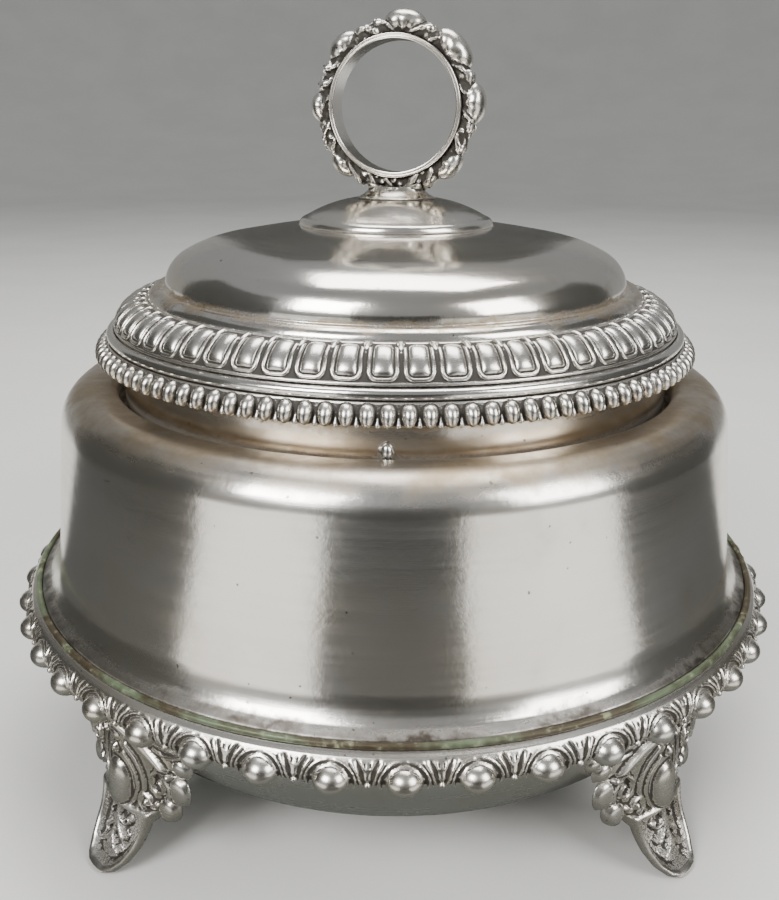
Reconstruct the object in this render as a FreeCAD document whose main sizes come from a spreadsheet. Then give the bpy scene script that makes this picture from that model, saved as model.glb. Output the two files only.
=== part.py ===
"""Covered sugar bowl in old silver plate, on four cast feet.

The bowl is a spun drum on a shallow pan, with a cast egg-and-leaf border
round the joint. The lid is a spun dome with rolled bands, a bezel that drops
in the drum's mouth, and a finger ring held by a stud and nut.

Frame: +Z up, the viewer's side is -Y, +X to the right, and the origin is on
the ground under the centre of the bowl. Lengths are millimetres.
"""
import FreeCAD
import Part
import Sketcher
import math
import os
import re

# Driving dimensions: alias, value, meaning. Heights called *_rise are measured
# from the seam between the drum and its base.
DIMENSIONS = [
    ("seam_radius", 80.0, "line where drum, seam wire and base meet"),
    ("seam_height", 46.0, "ground to the seam between drum and base"),
    ("sheet", 0.8, "thickness of the spun sheet"),
    ("drum_foot_radius", 79.2, "outer edge of the drum's flared foot"),
    ("drum_waist_radius", 75.0, "drum wall just above its flared foot"),
    ("drum_neck_radius", 71.8, "drum wall just under its shoulder"),
    ("drum_wall_rise", 34.4, "seam to the start of the shoulder"),
    ("shoulder_radius", 7.2, "rounding of the shoulder"),
    ("mouth_radius", 60.1, "opening in the drum's shoulder"),
    ("mouth_rise", 40.2, "seam to the mouth's rolled edge"),
    ("seat_rise", 35.1, "seam to the ledge that carries the lid"),
    ("seat_radius", 56.0, "inner edge of that ledge"),
    ("pan_radius", 75.6, "pan wall under the base's flange"),
    ("pan_depth", 35.3, "seam to the pan's lowest point"),
    ("border_radius", 84.6, "outermost point of the egg border"),
    ("border_depth", 7.2, "seam to the underside of the border"),
    ("wire_radius", 0.65, "half thickness of the brass seam wire"),
    ("flange_drop", 0.6, "seam line down to the flange that the drum stands on"),
    ("flange_thickness", 1.8, "that flange from its top to its underside"),
    ("collar_radius", 58.5, "outside of the lid's bezel"),
    ("collar_height", 15.0, "bezel, from its foot to its soldered top"),
    ("skirt_rise", 46.9, "seam to the lower edge of the lid"),
    ("skirt_radius", 59.3, "outside of the lid's skirt under its bands"),
    ("band_spring_rise", 51.5, "seam to the springing of the lid's quarter round"),
    ("band_foot_rise", 53.1, "seam to the lower edge of the gadroon band"),
    ("band_thickness", 0.7, "gadroon band on the lid's sheet"),
    ("band_curve", 6.7, "quarter round of the lid under the gadroons"),
    ("bead_radius", 63.8, "outermost point of the beads"),
    ("cord_radius", 1.0, "half thickness of the wire between gadroons and beads"),
    ("dome_radius", 48.9, "foot of the lid's dome"),
    ("dome_rise", 73.75, "seam to the top of the dome"),
    ("plate_radius", 20.6, "rim of the finial's plate"),
    ("plate_rise", 78.0, "seam to the top of the finial's plate"),
    ("neck_foot_radius", 9.0, "foot of the finial's neck on its plate"),
    ("neck_waist_radius", 5.7, "thinnest part of the neck"),
    ("ring_rise", 96.0, "seam to the centre of the finger ring"),
    ("ring_bore", 12.75, "finger hole radius"),
    ("liner_radius", 13.7, "outside of the plain inner band"),
    ("liner_half_width", 3.6, "half width of the plain inner band"),
    ("ring_radius", 16.2, "body of the cast ring"),
    ("ring_half_width", 3.1, "half width of the cast ring"),
    ("lobe_reach", 18.4, "ring centre to the crest of a lobe"),
    ("lobe_radius", 2.6, "half length of a lobe"),
    ("ring_yaw", -13.0, "turn of the ring about the upright axis"),
    ("stud_radius", 2.0, "threaded stud"),
    ("stud_clearance", 0.1, "gap round the stud in the sheet"),
    ("stud_depth", 1.3, "stud's length inside the neck"),
    ("stud_end", 1.5, "stud's length past the nut"),
    ("nut_flats", 8.0, "across the flats of the nut"),
    ("nut_height", 3.0, "thickness of the nut"),
    ("washer_radius", 6.0, "outside of the washer"),
    ("washer_height", 0.8, "thickness of the washer"),
    ("crown_fall", 0.12, "fall of the dome's crown from the stud out to the washer's rim"),
    ("foot_span", 44.0, "angle that one foot's bracket takes"),
    ("tack_radius", 1.9, "solder tack on the bezel, half sunk in it"),
    ("tack_rise", 41.6, "seam to the centre of the tack"),
    ("tack_azimuth", -91.4, "direction of the tack about the upright axis"),
]
LOBE_COUNT = 8
FOOT_AZIMUTHS = {
    "foot_front_left": -135.0,
    "foot_front_right": -45.0,
    "foot_back_right": 45.0,
    "foot_back_left": 135.0,
}
ALIASES = [row[0] for row in DIMENSIONS]
WORD = re.compile(r"[a-z][a-z_]+")

doc = FreeCAD.newDocument("sugar_bowl")
subparts = []


def fill_sheet():
    """Put every driving dimension in the spreadsheet under its alias."""
    sheet = doc.addObject("Spreadsheet::Sheet", "Sizes")
    for row, (alias, value, meaning) in enumerate(DIMENSIONS, start=1):
        sheet.set(f"A{row}", alias.replace("_", " "))
        sheet.set(f"B{row}", str(value))
        sheet.set(f"C{row}", meaning)
        sheet.setAlias(f"B{row}", alias)
    doc.recompute()
    return sheet


sheet = fill_sheet()


def formula(text):
    """Write an expression in plain aliases as one that reads the spreadsheet."""
    return WORD.sub(lambda m: f"Sizes.{m.group()}" if m.group() in ALIASES else m.group(), str(text))


def number(text):
    """Value of such an expression now."""
    return float(sheet.evalExpression(formula(text)))


def bind(obj, **properties):
    """Bind properties of an object to the spreadsheet."""
    for name, text in properties.items():
        obj.setExpression(name, formula(text))
    return obj


def finish(obj, label):
    """Name an object as a sub-part of the bowl."""
    obj.Label = label
    subparts.append(obj)
    return obj


def bulge_point(start, end, radius):
    """Middle of the arc from start to end; a positive radius bulges to the left of the way."""
    run = end - start
    half = run.Length / 2
    sagitta = abs(radius) - math.sqrt(radius * radius - half * half)
    left = FreeCAD.Vector(-run.y, run.x, 0).normalize()
    return (start + end) / 2 + left * math.copysign(sagitta, radius)


def outline(sketch, corners, closed=True):
    """Draw a chain of lines and arcs whose corners and radii read the spreadsheet.

    A corner is (x, y) or (x, y, radius), where radius is that of the arc which arrives there.
    """
    places = [FreeCAD.Vector(number(c[0]), number(c[1]), 0) for c in corners]
    count = len(corners)
    last = count if closed else count - 1
    ends = []
    for i in range(last):
        j = (i + 1) % count
        start, end = places[i], places[j]
        if len(corners[j]) == 3:
            middle = bulge_point(start, end, number(corners[j][2]))
            edge = sketch.addGeometry(Part.Arc(start, middle, end))
        else:
            edge = sketch.addGeometry(Part.LineSegment(start, end))
        forward = sketch.getPoint(edge, 1).distanceToPoint(start) < 1e-6
        ends.append((edge, 1, 2) if forward else (edge, 2, 1))
    for i in range(count if closed else count - 2):
        before, after = ends[i], ends[(i + 1) % len(ends)]
        sketch.addConstraint(Sketcher.Constraint("Coincident", before[0], before[2], after[0], after[1]))
    for i, corner in enumerate(corners):
        edge, point = (ends[i][0], ends[i][1]) if i < len(ends) else (ends[-1][0], ends[-1][2])
        for axis, text, place in (("X", corner[0], places[i].x), ("Y", corner[1], places[i].y)):
            if abs(place) < 1e-9:
                line = -2 if axis == "X" else -1
                sketch.addConstraint(Sketcher.Constraint("PointOnObject", edge, point, line))
                continue
            index = sketch.addConstraint(Sketcher.Constraint("Distance" + axis, edge, point, place))
            sketch.setExpression(f"Constraints[{index}]", formula(text))
        if len(corner) == 3:
            arrived = ends[(i - 1) % len(ends)][0]
            radius = abs(number(corner[2]))
            index = sketch.addConstraint(Sketcher.Constraint("Radius", arrived, radius))
            sketch.setExpression(f"Constraints[{index}]", formula(f"abs({corner[2]})"))


def rise(text):
    """Height above the ground of a height given from the seam."""
    return f"seam_height + {text}"


def upright_sketch(name, corners, closed):
    """Outline in the XZ plane, for revolving about Z."""
    sketch = doc.addObject("Sketcher::SketchObject", name + "_profile")
    sketch.Placement = FreeCAD.Placement(FreeCAD.Vector(), FreeCAD.Rotation(FreeCAD.Vector(1, 0, 0), 90))
    outline(sketch, corners, closed)
    return sketch


def revolve(name, source, angle=360):
    """Turn a face about the Z axis into a solid."""
    turned = doc.addObject("Part::Revolution", name)
    turned.Source = source
    turned.Base = FreeCAD.Vector(0, 0, 0)
    turned.Axis = FreeCAD.Vector(0, 0, 1)
    turned.Angle = angle
    turned.Symmetric = angle < 360
    turned.Solid = True
    return turned


def spun_shell(name, corners):
    """Sheet metal spun over a former: the outer line is given and the sheet lies inside it."""
    sketch = upright_sketch(name, corners, closed=False)
    doc.recompute()
    skin = doc.addObject("Part::Offset2D", name + "_section")
    skin.Source = sketch
    skin.Fill = True
    skin.Mode = "Skin"
    bind(skin, Value="sheet")
    return finish(revolve(name, skin), name)


def turned_body(name, corners, plane_role="XZ_Plane"):
    """Body with one revolution: about Z, or about Y when its outline lies in the XY plane."""
    body = doc.addObject("PartDesign::Body", name)
    plane = next(f for f in body.Origin.OriginFeatures if f.Role == plane_role)
    sketch = body.newObject("Sketcher::SketchObject", name + "_profile")
    sketch.AttachmentSupport = [(plane, "")]
    sketch.MapMode = "FlatFace"
    doc.recompute()
    outline(sketch, corners)
    turned = body.newObject("PartDesign::Revolution", name + "_turned")
    turned.Profile = sketch
    turned.ReferenceAxis = (sketch, ["V_Axis"])
    turned.Angle = 360
    return body


def box_section(inner, outer, low, high):
    """Corners of a plain rectangular section, to be turned."""
    return [(inner, low), (outer, low), (outer, high), (inner, high)]


def under_flange():
    """Height of the base flange's underside, where pan and feet are soldered on."""
    return rise("-flange_drop - flange_thickness")


def make_drum():
    """Conical wall with a flared foot, a round shoulder and a mouth rolled down."""
    shoulder_rise = "drum_wall_rise + shoulder_radius"
    spun_shell("body_drum", [
        ("drum_foot_radius", rise("-flange_drop")),
        ("drum_foot_radius", rise("0.4")),
        ("drum_foot_radius - 1.8", rise("1.5")),
        ("drum_waist_radius", rise("6.5"), "9"),
        ("drum_neck_radius", rise("drum_wall_rise")),
        ("drum_neck_radius - shoulder_radius", rise(shoulder_rise), "-shoulder_radius"),
        ("mouth_radius + 1.6", rise(f"{shoulder_rise} - 0.1")),
        ("mouth_radius", rise("mouth_rise"), "-1.9"),
        ("mouth_radius", rise("mouth_rise - 2.2")),
    ])


def make_seat():
    """Hidden ledge soldered under the mouth, on which the lid's bezel stands."""
    top = rise("mouth_rise - 0.8")
    seat = turned_body("mouth_seat_ring", [
        ("seat_radius", rise("seat_rise")),
        ("mouth_radius + 2 * sheet", rise("seat_rise")),
        ("mouth_radius + 2 * sheet", top),
        ("mouth_radius + sheet", top),
        ("mouth_radius + sheet", rise("seat_rise + sheet")),
        ("seat_radius", rise("seat_rise + sheet")),
    ])
    finish(seat, "mouth_seat_ring")


def make_seam_wire():
    """Thin brass wire that lies in the corner between drum and base."""
    wire = doc.addObject("Part::Torus", "seam_wire")
    bind(wire, Radius1="drum_foot_radius + wire_radius + 0.1", Radius2="wire_radius")
    wire.setExpression("Placement.Base.z", formula("seam_height - flange_drop + wire_radius"))
    finish(wire, "seam_wire")


def make_border():
    """Flange under the drum, with the rounded band that carries the eggs and leaves."""
    border = turned_body("base_border", [
        ("pan_radius - sheet", rise("-flange_drop")),
        ("seam_radius + 0.5", rise("-flange_drop")),
        ("seam_radius + 1.6", rise("-1.7")),
        ("border_radius", rise("2.2 - border_depth"), "4.6"),
        ("border_radius - 1.8", rise("-border_depth"), "2.6"),
        ("border_radius - 3.2", rise("0.3 - border_depth")),
        ("seam_radius - 0.6", under_flange(), "-9"),
        ("pan_radius - sheet", under_flange()),
    ])
    finish(border, "base_border")


def make_pan():
    """Shallow bowl that closes the drum from below."""
    spun_shell("base_pan", [
        ("0", rise("-pan_depth")),
        ("8", rise("-pan_depth")),
        ("32", rise("0.5 - pan_depth"), "-600"),
        ("57", rise("5.1 - pan_depth"), "-85"),
        ("pan_radius - 3.4", rise("16 - pan_depth"), "-27"),
        ("pan_radius", rise("-9.5"), "-22"),
        ("pan_radius", under_flange()),
    ])


def mirrored(half):
    """Whole outline from its right half, which runs from the bottom to the top."""
    left = [("-" + half[-1][0], half[-1][1])]
    for corner, above in zip(half[-2::-1], half[:0:-1]):
        left.append(("-" + corner[0], corner[1]) + above[2:])
    return half + left


def make_foot(name, azimuth):
    """Cast bracket foot: a leg's section swept round the pan, cut to the foot's front outline."""
    section = upright_sketch(name + "_section", [
        ("pan_radius", under_flange()),
        ("seam_radius - 1.2", under_flange()),
        ("seam_radius - 1.4", rise("-7")),
        ("pan_radius + 0.6", "25", "-26"),
        ("pan_radius + 2.6", "8", "-24"),
        ("seam_radius + 2.6", "2.2", "-9"),
        ("seam_radius + 1.4", "0", "1.4"),
        ("pan_radius + 2.4", "0"),
        ("pan_radius - 1.9", "9", "14"),
        ("pan_radius - 3.2", "24"),
        ("pan_radius", "36", "-26"),
    ], closed=True)
    leg = revolve(name + "_leg", section)
    leg.Symmetric = True
    bind(leg, Angle="foot_span")
    front = doc.addObject("Sketcher::SketchObject", name + "_front_profile")
    front.Placement = FreeCAD.Placement(FreeCAD.Vector(), FreeCAD.Rotation(FreeCAD.Vector(1, 1, 1), 120))
    outline(front, mirrored([
        ("2.4", "0"),
        ("6.4", "3.4", "-6"),
        ("8.3", "11", "-22"),
        ("9.2", "17"),
        ("15", "18.2", "-3.2"),
        ("18.7", "24.4", "-4"),
        ("20", "28.6", "-2.6"),
        ("22.8", "31", "-2.2"),
        ("23.5", "33.5"),
        ("23.5", rise("-1")),
    ]))
    block = doc.addObject("Part::Extrusion", name + "_front")
    block.Base = front
    block.DirMode = "Custom"
    block.Dir = FreeCAD.Vector(1, 0, 0)
    block.Solid = True
    bind(block, LengthFwd="border_radius + 10")
    foot = doc.addObject("Part::Common", name)
    foot.Base = leg
    foot.Tool = block
    foot.Placement = FreeCAD.Placement(FreeCAD.Vector(), FreeCAD.Rotation(FreeCAD.Vector(0, 0, 1), azimuth))
    finish(foot, name)


def make_lid_dome():
    """Low dome, a groove, a half round step and the curved shoulder under the bands."""
    spun_shell("lid_dome", [
        ("skirt_radius", rise("skirt_rise")),
        ("skirt_radius", rise("band_spring_rise")),
        ("skirt_radius - band_curve", rise("band_spring_rise + band_curve"), "-band_curve"),
        ("skirt_radius - band_curve", rise("band_spring_rise + band_curve + band_thickness")),
        ("dome_radius + 0.9", rise("dome_rise - 13.1"), "-2.2"),
        ("dome_radius", rise("dome_rise - 13.1")),
        ("dome_radius", rise("dome_rise - 11.75")),
        ("dome_radius - 4.3", rise("dome_rise - 6.35"), "-7.7"),
        ("dome_radius - 12.9", rise("dome_rise - 3.55"), "-24.7"),
        ("stud_radius + stud_clearance", rise("dome_rise"), "-184"),
    ])


def make_gadroon_band():
    """Rolled band on the lid's curved shoulder."""
    foot = "(band_foot_rise - band_spring_rise)"
    inner = f"skirt_radius - band_curve + sqrt(band_curve^2 - {foot}^2)"
    outer = f"skirt_radius - band_curve + sqrt((band_curve + band_thickness)^2 - {foot}^2)"
    band = turned_body("lid_gadroon_band", [
        ("skirt_radius - band_curve", rise("band_spring_rise + band_curve"), "-band_curve"),
        ("skirt_radius - band_curve", rise("band_spring_rise + band_curve + band_thickness")),
        (outer, rise("band_foot_rise"), "band_curve + band_thickness"),
        (inner, rise("band_foot_rise")),
    ])
    finish(band, "lid_gadroon_band")


def make_cord():
    """Plain round wire soldered round the skirt between the two ornamented bands."""
    wire = doc.addObject("Part::Torus", "lid_plain_wire")
    bind(wire, Radius1="skirt_radius + cord_radius + 0.02", Radius2="cord_radius")
    wire.setExpression("Placement.Base.z", formula(rise("band_foot_rise - cord_radius - 0.05")))
    finish(wire, "lid_plain_wire")


def make_bead_band():
    """Rolled strip with the row of beads, at the lid's lower edge."""
    band = turned_body("lid_bead_band", [
        ("skirt_radius", rise("skirt_rise")),
        ("bead_radius - 0.6", rise("skirt_rise")),
        ("bead_radius", rise("skirt_rise + 2.1"), "-4"),
        ("bead_radius - 1.5", rise("skirt_rise + 4.2"), "-3.4"),
        ("skirt_radius", rise("skirt_rise + 4.1")),
    ])
    finish(band, "lid_bead_band")


def make_collar():
    """Plain bezel soldered inside the lid's skirt."""
    foot = rise("seat_rise + sheet")
    collar = turned_body("lid_collar", box_section(
        "collar_radius - sheet", "collar_radius", foot, f"{foot} + collar_height"))
    finish(collar, "lid_collar")


def make_tack():
    """Blob of solder on the bezel, flattened against it."""
    ball = doc.addObject("Part::Sphere", "tack_ball")
    bind(ball, Radius="tack_radius")
    ball.setExpression("Placement.Base.x", formula("collar_radius - tack_radius / 2"))
    ball.setExpression("Placement.Base.z", formula(rise("tack_rise")))
    bezel = doc.addObject("Part::Cylinder", "tack_bezel")
    bind(bezel, Radius="collar_radius", Height="seam_height + tack_rise + 10")
    tack = doc.addObject("Part::Cut", "collar_solder_tack")
    tack.Base = ball
    tack.Tool = bezel
    tack.Placement = FreeCAD.Placement(
        FreeCAD.Vector(), FreeCAD.Rotation(FreeCAD.Vector(0, 0, 1), number("tack_azimuth")))
    finish(tack, "collar_solder_tack")


def make_plate():
    """Spun plate that carries the finial on the dome, open at its centre for the stud."""
    spun_shell("finial_plate", [
        ("plate_radius", rise("dome_rise - 1.12")),
        ("plate_radius - 1.4", rise("dome_rise + 0.6"), "-1.6"),
        ("neck_foot_radius", rise("plate_rise"), "-28"),
        ("stud_radius + stud_clearance", rise("plate_rise")),
    ])


def make_neck():
    """Cast stub between plate and ring, bored for the stud and saddled to the ring."""
    spindle = revolve("neck_spindle", upright_sketch("neck", [
        ("stud_radius", rise("plate_rise")),
        ("neck_foot_radius", rise("plate_rise")),
        ("neck_waist_radius", rise("plate_rise + 2"), "5"),
        ("neck_waist_radius + 0.5", rise("plate_rise + 4"), "6"),
        ("0", rise("plate_rise + 4")),
        ("0", rise("plate_rise + stud_depth")),
        ("stud_radius", rise("plate_rise + stud_depth")),
    ], closed=True))
    saddle = doc.addObject("Part::Cylinder", "neck_saddle")
    bind(saddle, Radius="ring_radius", Height="40")
    saddle.Placement = FreeCAD.Placement(
        FreeCAD.Vector(0, 20, 0), FreeCAD.Rotation(FreeCAD.Vector(1, 0, 0), 90))
    saddle.setExpression("Placement.Base.z", formula(rise("ring_rise")))
    neck = doc.addObject("Part::Cut", "finial_neck")
    neck.Base = spindle
    neck.Tool = saddle
    neck.Placement = FreeCAD.Placement(
        FreeCAD.Vector(), FreeCAD.Rotation(FreeCAD.Vector(0, 0, 1), number("ring_yaw")))
    finish(neck, "finial_neck")


def ring_placement(obj):
    """Stand a ring that was turned about its own Y axis upright over the lid, yawed a little."""
    obj.Placement = FreeCAD.Placement(
        FreeCAD.Vector(0, 0, number(rise("ring_rise"))),
        FreeCAD.Rotation(FreeCAD.Vector(0, 0, 1), number("ring_yaw")))


def make_ring():
    """Cast ring with a lobe at each eighth of a turn, except where the neck holds it."""
    band = turned_body("ring_band", box_section(
        "liner_radius", "ring_radius", "-ring_half_width", "ring_half_width"), "XY_Plane")
    shapes = [band]
    for i in range(LOBE_COUNT):
        angle = 90 + i * 360 / LOBE_COUNT
        if i == LOBE_COUNT // 2:
            continue
        lobe = doc.addObject("Part::Sphere", f"ring_lobe_{i}")
        bind(lobe, Radius="lobe_radius")
        reach = "(lobe_reach - lobe_radius)"
        lobe.setExpression("Placement.Base.x", formula(f"{reach} * cos({angle})"))
        lobe.setExpression("Placement.Base.z", formula(f"{reach} * sin({angle})"))
        shapes.append(lobe)
    joined = doc.addObject("Part::MultiFuse", "ring_with_lobes")
    joined.Shapes = shapes
    bore = doc.addObject("Part::Cylinder", "ring_bore_tool")
    bind(bore, Radius="liner_radius", Height="40")
    bore.Placement = FreeCAD.Placement(
        FreeCAD.Vector(0, 20, 0), FreeCAD.Rotation(FreeCAD.Vector(1, 0, 0), 90))
    ring = doc.addObject("Part::Cut", "finial_ring")
    ring.Base = joined
    ring.Tool = bore
    ring_placement(ring)
    finish(ring, "finial_ring")


def make_liner():
    """Plain band inside the cast ring."""
    liner = turned_body("finial_ring_liner", box_section(
        "ring_bore", "liner_radius", "-liner_half_width", "liner_half_width"), "XY_Plane")
    ring_placement(liner)
    finish(liner, "finial_ring_liner")


def make_fastening():
    """Stud, washer and nut that pull the finial down on the dome."""
    washer_top = "dome_rise - sheet - crown_fall"
    nut_top = f"{washer_top} - washer_height"
    stud_foot = f"{nut_top} - nut_height - stud_end"
    stud = doc.addObject("Part::Cylinder", "finial_stud")
    bind(stud, Radius="stud_radius", Height=f"plate_rise + stud_depth - ({stud_foot})")
    stud.setExpression("Placement.Base.z", formula(rise(stud_foot)))
    finish(stud, "finial_stud")
    washer = turned_body("finial_washer", box_section(
        "stud_radius + stud_clearance", "washer_radius", rise(nut_top), rise(washer_top)))
    finish(washer, "finial_washer")
    hexagon = doc.addObject("Part::Prism", "nut_hexagon")
    hexagon.Polygon = 6
    bind(hexagon, Circumradius="nut_flats / sqrt(3)", Height="nut_height")
    hexagon.setExpression("Placement.Base.z", formula(rise(f"{nut_top} - nut_height")))
    thread = doc.addObject("Part::Cylinder", "nut_thread")
    bind(thread, Radius="stud_radius", Height="seam_height + dome_rise")
    nut = doc.addObject("Part::Cut", "finial_nut")
    nut.Base = hexagon
    nut.Tool = thread
    finish(nut, "finial_nut")


def check_document():
    """Stop if any object failed or any sub-part is not one good solid."""
    for obj in doc.Objects:
        if {"Invalid", "Error"} & set(obj.State):
            raise RuntimeError(f"{obj.Name} did not compute: {obj.State}")
    for obj in subparts:
        shape = obj.Shape
        if shape.isNull() or not shape.isValid() or len(shape.Solids) != 1:
            raise RuntimeError(f"{obj.Label} is not one valid solid")
        box = shape.BoundBox
        print(f"{obj.Label:20s} {shape.Volume:9.1f} mm3  z {box.ZMin:7.2f} to {box.ZMax:7.2f}"
              f"  x {box.XMin:7.2f} to {box.XMax:7.2f}")


def export():
    """Write one STEP file per sub-part."""
    os.makedirs("parts", exist_ok=True)
    for obj in subparts:
        obj.Shape.exportStep(f"parts/{obj.Label}.step")


make_drum()
make_seat()
make_seam_wire()
make_border()
make_pan()
for foot_name, foot_azimuth in FOOT_AZIMUTHS.items():
    make_foot(foot_name, foot_azimuth)
make_lid_dome()
make_gadroon_band()
make_cord()
make_bead_band()
make_collar()
make_tack()
make_plate()
make_neck()
make_ring()
make_liner()
make_fastening()
doc.recompute()
check_document()
export()
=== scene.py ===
import math
import bpy
import numpy as np
from mathutils import Matrix, Vector


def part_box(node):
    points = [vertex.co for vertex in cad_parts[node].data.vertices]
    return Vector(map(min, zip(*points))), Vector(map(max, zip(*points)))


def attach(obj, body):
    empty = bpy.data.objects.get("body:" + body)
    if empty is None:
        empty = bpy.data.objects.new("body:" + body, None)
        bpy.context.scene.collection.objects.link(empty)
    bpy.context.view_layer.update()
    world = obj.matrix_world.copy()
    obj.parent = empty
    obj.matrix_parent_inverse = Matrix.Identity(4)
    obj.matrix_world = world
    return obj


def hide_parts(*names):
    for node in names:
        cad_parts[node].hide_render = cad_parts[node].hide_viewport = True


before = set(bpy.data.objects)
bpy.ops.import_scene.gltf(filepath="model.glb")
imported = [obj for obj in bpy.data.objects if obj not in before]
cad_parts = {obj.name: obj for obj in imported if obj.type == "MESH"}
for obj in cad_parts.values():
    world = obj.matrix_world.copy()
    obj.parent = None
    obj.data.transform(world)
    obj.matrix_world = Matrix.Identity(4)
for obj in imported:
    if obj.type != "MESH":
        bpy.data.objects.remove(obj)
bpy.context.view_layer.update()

# ---------------------------------------------------------------------------
# Sizes. Shapes are worked out in millimetres and turned into metres in mesh().
# ---------------------------------------------------------------------------
MM = 0.001
TAU = 2 * math.pi
SHEET = 0.8
SEGMENTS = 288
EGGS = 44
GADROONS = 62
BEADS = 116


def span(node):
    """Lowest and highest corner of a CAD node in millimetres."""
    low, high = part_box(node)
    return Vector(low) / MM, Vector(high) / MM


SEAM = span("seam_wire")[0].z + 0.6
FLANGE = span("base_border")[1].z
BORDER_RADIUS = span("base_border")[1].x
FOOT_RADIUS = span("body_drum")[1].x
SHOULDER_TOP = span("body_drum")[1].z
SKIRT_BOTTOM = span("lid_dome")[0].z
SKIRT_RADIUS = span("lid_dome")[1].x
DOME_TOP = span("lid_dome")[1].z
BEAD_RADIUS = span("lid_bead_band")[1].x
BAND_FOOT = span("lid_gadroon_band")[0].z
COLLAR_RADIUS = span("lid_collar")[1].x
PLATE_RADIUS = span("finial_plate")[1].x
PLATE_TOP = span("finial_plate")[1].z
LINER = span("finial_ring_liner")
RING_CENTRE = (LINER[0].z + LINER[1].z) / 2
LINER_RADIUS = (LINER[1].z - LINER[0].z) / 2
RING_YAW = math.radians(-13)


# ---------------------------------------------------------------------------
# Outlines and meshes
# ---------------------------------------------------------------------------
def trace(corners, step=0.12):
    """Points along lines and arcs; a corner is (r, z) or (r, z, radius of the arc that arrives)."""
    points = [np.array(corners[0][:2], float)]
    for before, corner in zip(corners[:-1], corners[1:]):
        start, end = np.array(before[:2], float), np.array(corner[:2], float)
        run = end - start
        length = np.linalg.norm(run)
        if len(corner) == 3:
            radius = corner[2]
            left = np.array([-run[1], run[0]]) / length
            reach = math.sqrt(radius * radius - length * length / 4)
            centre = (start + end) / 2 - left * math.copysign(reach, radius)
            a0 = math.atan2(*(start - centre)[::-1])
            a1 = math.atan2(*(end - centre)[::-1])
            turn = (a1 - a0 + math.pi) % TAU - math.pi
            count = max(2, int(abs(turn * radius) / step) + 1)
            angles = a0 + turn * np.linspace(0, 1, count + 1)[1:]
            points += list(centre + abs(radius) * np.stack([np.cos(angles), np.sin(angles)], 1))
        else:
            count = max(2, int(length / step) + 1)
            points += [start + run * t for t in np.linspace(0, 1, count + 1)[1:]]
    return np.array(points)


def soften(path, width, step=0.1):
    """Round the corners of a path over about width millimetres; its ends stay."""
    lengths = np.concatenate([[0], np.cumsum(np.linalg.norm(np.diff(path, axis=0), axis=1))])
    count = max(8, int(lengths[-1] / step))
    places = np.linspace(0, lengths[-1], count)
    even = np.stack([np.interp(places, lengths, path[:, k]) for k in (0, 1)], 1)
    reach = int(3 * width / step) + 1
    kernel = np.exp(-0.5 * (np.arange(-reach, reach + 1) * step / width) ** 2)
    kernel /= kernel.sum()
    head = 2 * even[0] - even[reach:0:-1]
    tail = 2 * even[-1] - even[-2:-reach - 2:-1]
    padded = np.concatenate([head, even, tail])
    smooth = np.stack([np.convolve(padded[:, k], kernel, "valid") for k in (0, 1)], 1)
    smooth[0], smooth[-1] = even[0], even[-1]
    return smooth


def thin_out(path, turn=2.5, longest=3.0):
    """Keep the points of a fine path that its shape needs."""
    kept = [path[0]]
    way = path[1] - path[0]
    for point, after in zip(path[1:-1], path[2:]):
        ahead = after - point
        angle = abs(math.atan2(way[0] * ahead[1] - way[1] * ahead[0], way @ ahead))
        if math.degrees(angle) > turn or np.linalg.norm(point - kept[-1]) > longest:
            kept.append(point)
            way = ahead
    kept.append(path[-1])
    return np.array(kept)


def normals_of(path):
    """Unit normals on the left of a path."""
    way = np.gradient(path, axis=0)
    way /= np.linalg.norm(way, axis=1)[:, None]
    return np.stack([-way[:, 1], way[:, 0]], 1)


def add(name, data):
    """Object with this data, in the scene."""
    made = bpy.data.objects.new(name, data)
    bpy.context.collection.objects.link(made)
    return made


def smooth_object(name, vertices, faces):
    """Smooth object from vertices in metres."""
    data = bpy.data.meshes.new(name)
    data.from_pydata(vertices.tolist(), [], faces)
    data.validate()
    data.polygons.foreach_set("use_smooth", [True] * len(data.polygons))
    return add(name, data)


def dress(piece, material):
    """Give a piece its material."""
    piece.data.materials.clear()
    piece.data.materials.append(material)


def mesh(name, vertices, faces, body, material, sharp=42, hollow=None):
    """Make a piece from arrays in millimetres, ride it on its body and hide the CAD part that it stands for.

    hollow says for each vertex how deep it lies in a recess, from 0 to 1.
    """
    piece = smooth_object(name, vertices * MM, faces)
    data = piece.data
    data.set_sharp_from_angle(angle=math.radians(sharp))
    if hollow is not None:
        data.attributes.new("hollow", "FLOAT", "POINT").data.foreach_set("value", hollow.astype("f"))
    data.update()
    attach(piece, body)
    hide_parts(name)
    dress(piece, material)


def ring_faces(rows, columns, close_rows):
    """Quads of a grid that wraps round its columns, and round its rows when it is a closed loop."""
    faces = []
    for i in range(rows if close_rows else rows - 1):
        a, b = i * columns, ((i + 1) % rows) * columns
        faces += [(a + j, a + (j + 1) % columns, b + (j + 1) % columns, b + j) for j in range(columns)]
    return faces


def capped_faces(rows, columns):
    """Faces of a grid that wraps round its columns, with a fan at either end; the centres come last."""
    faces = ring_faces(rows, columns, False)
    first_centre, last_row = rows * columns, (rows - 1) * columns
    for k in range(columns):
        after = (k + 1) % columns
        faces += [(first_centre, after, k), (first_centre + 1, last_row + k, last_row + after)]
    return faces


def turn_loop(loop, segments):
    """Vertices of a section loop turned about Z."""
    angles = np.linspace(0, TAU, segments, endpoint=False)
    r, z = loop[:, 0][:, None], loop[:, 1][:, None]
    return np.stack([r * np.cos(angles), r * np.sin(angles), z + 0 * angles], 2).reshape(-1, 3)


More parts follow.
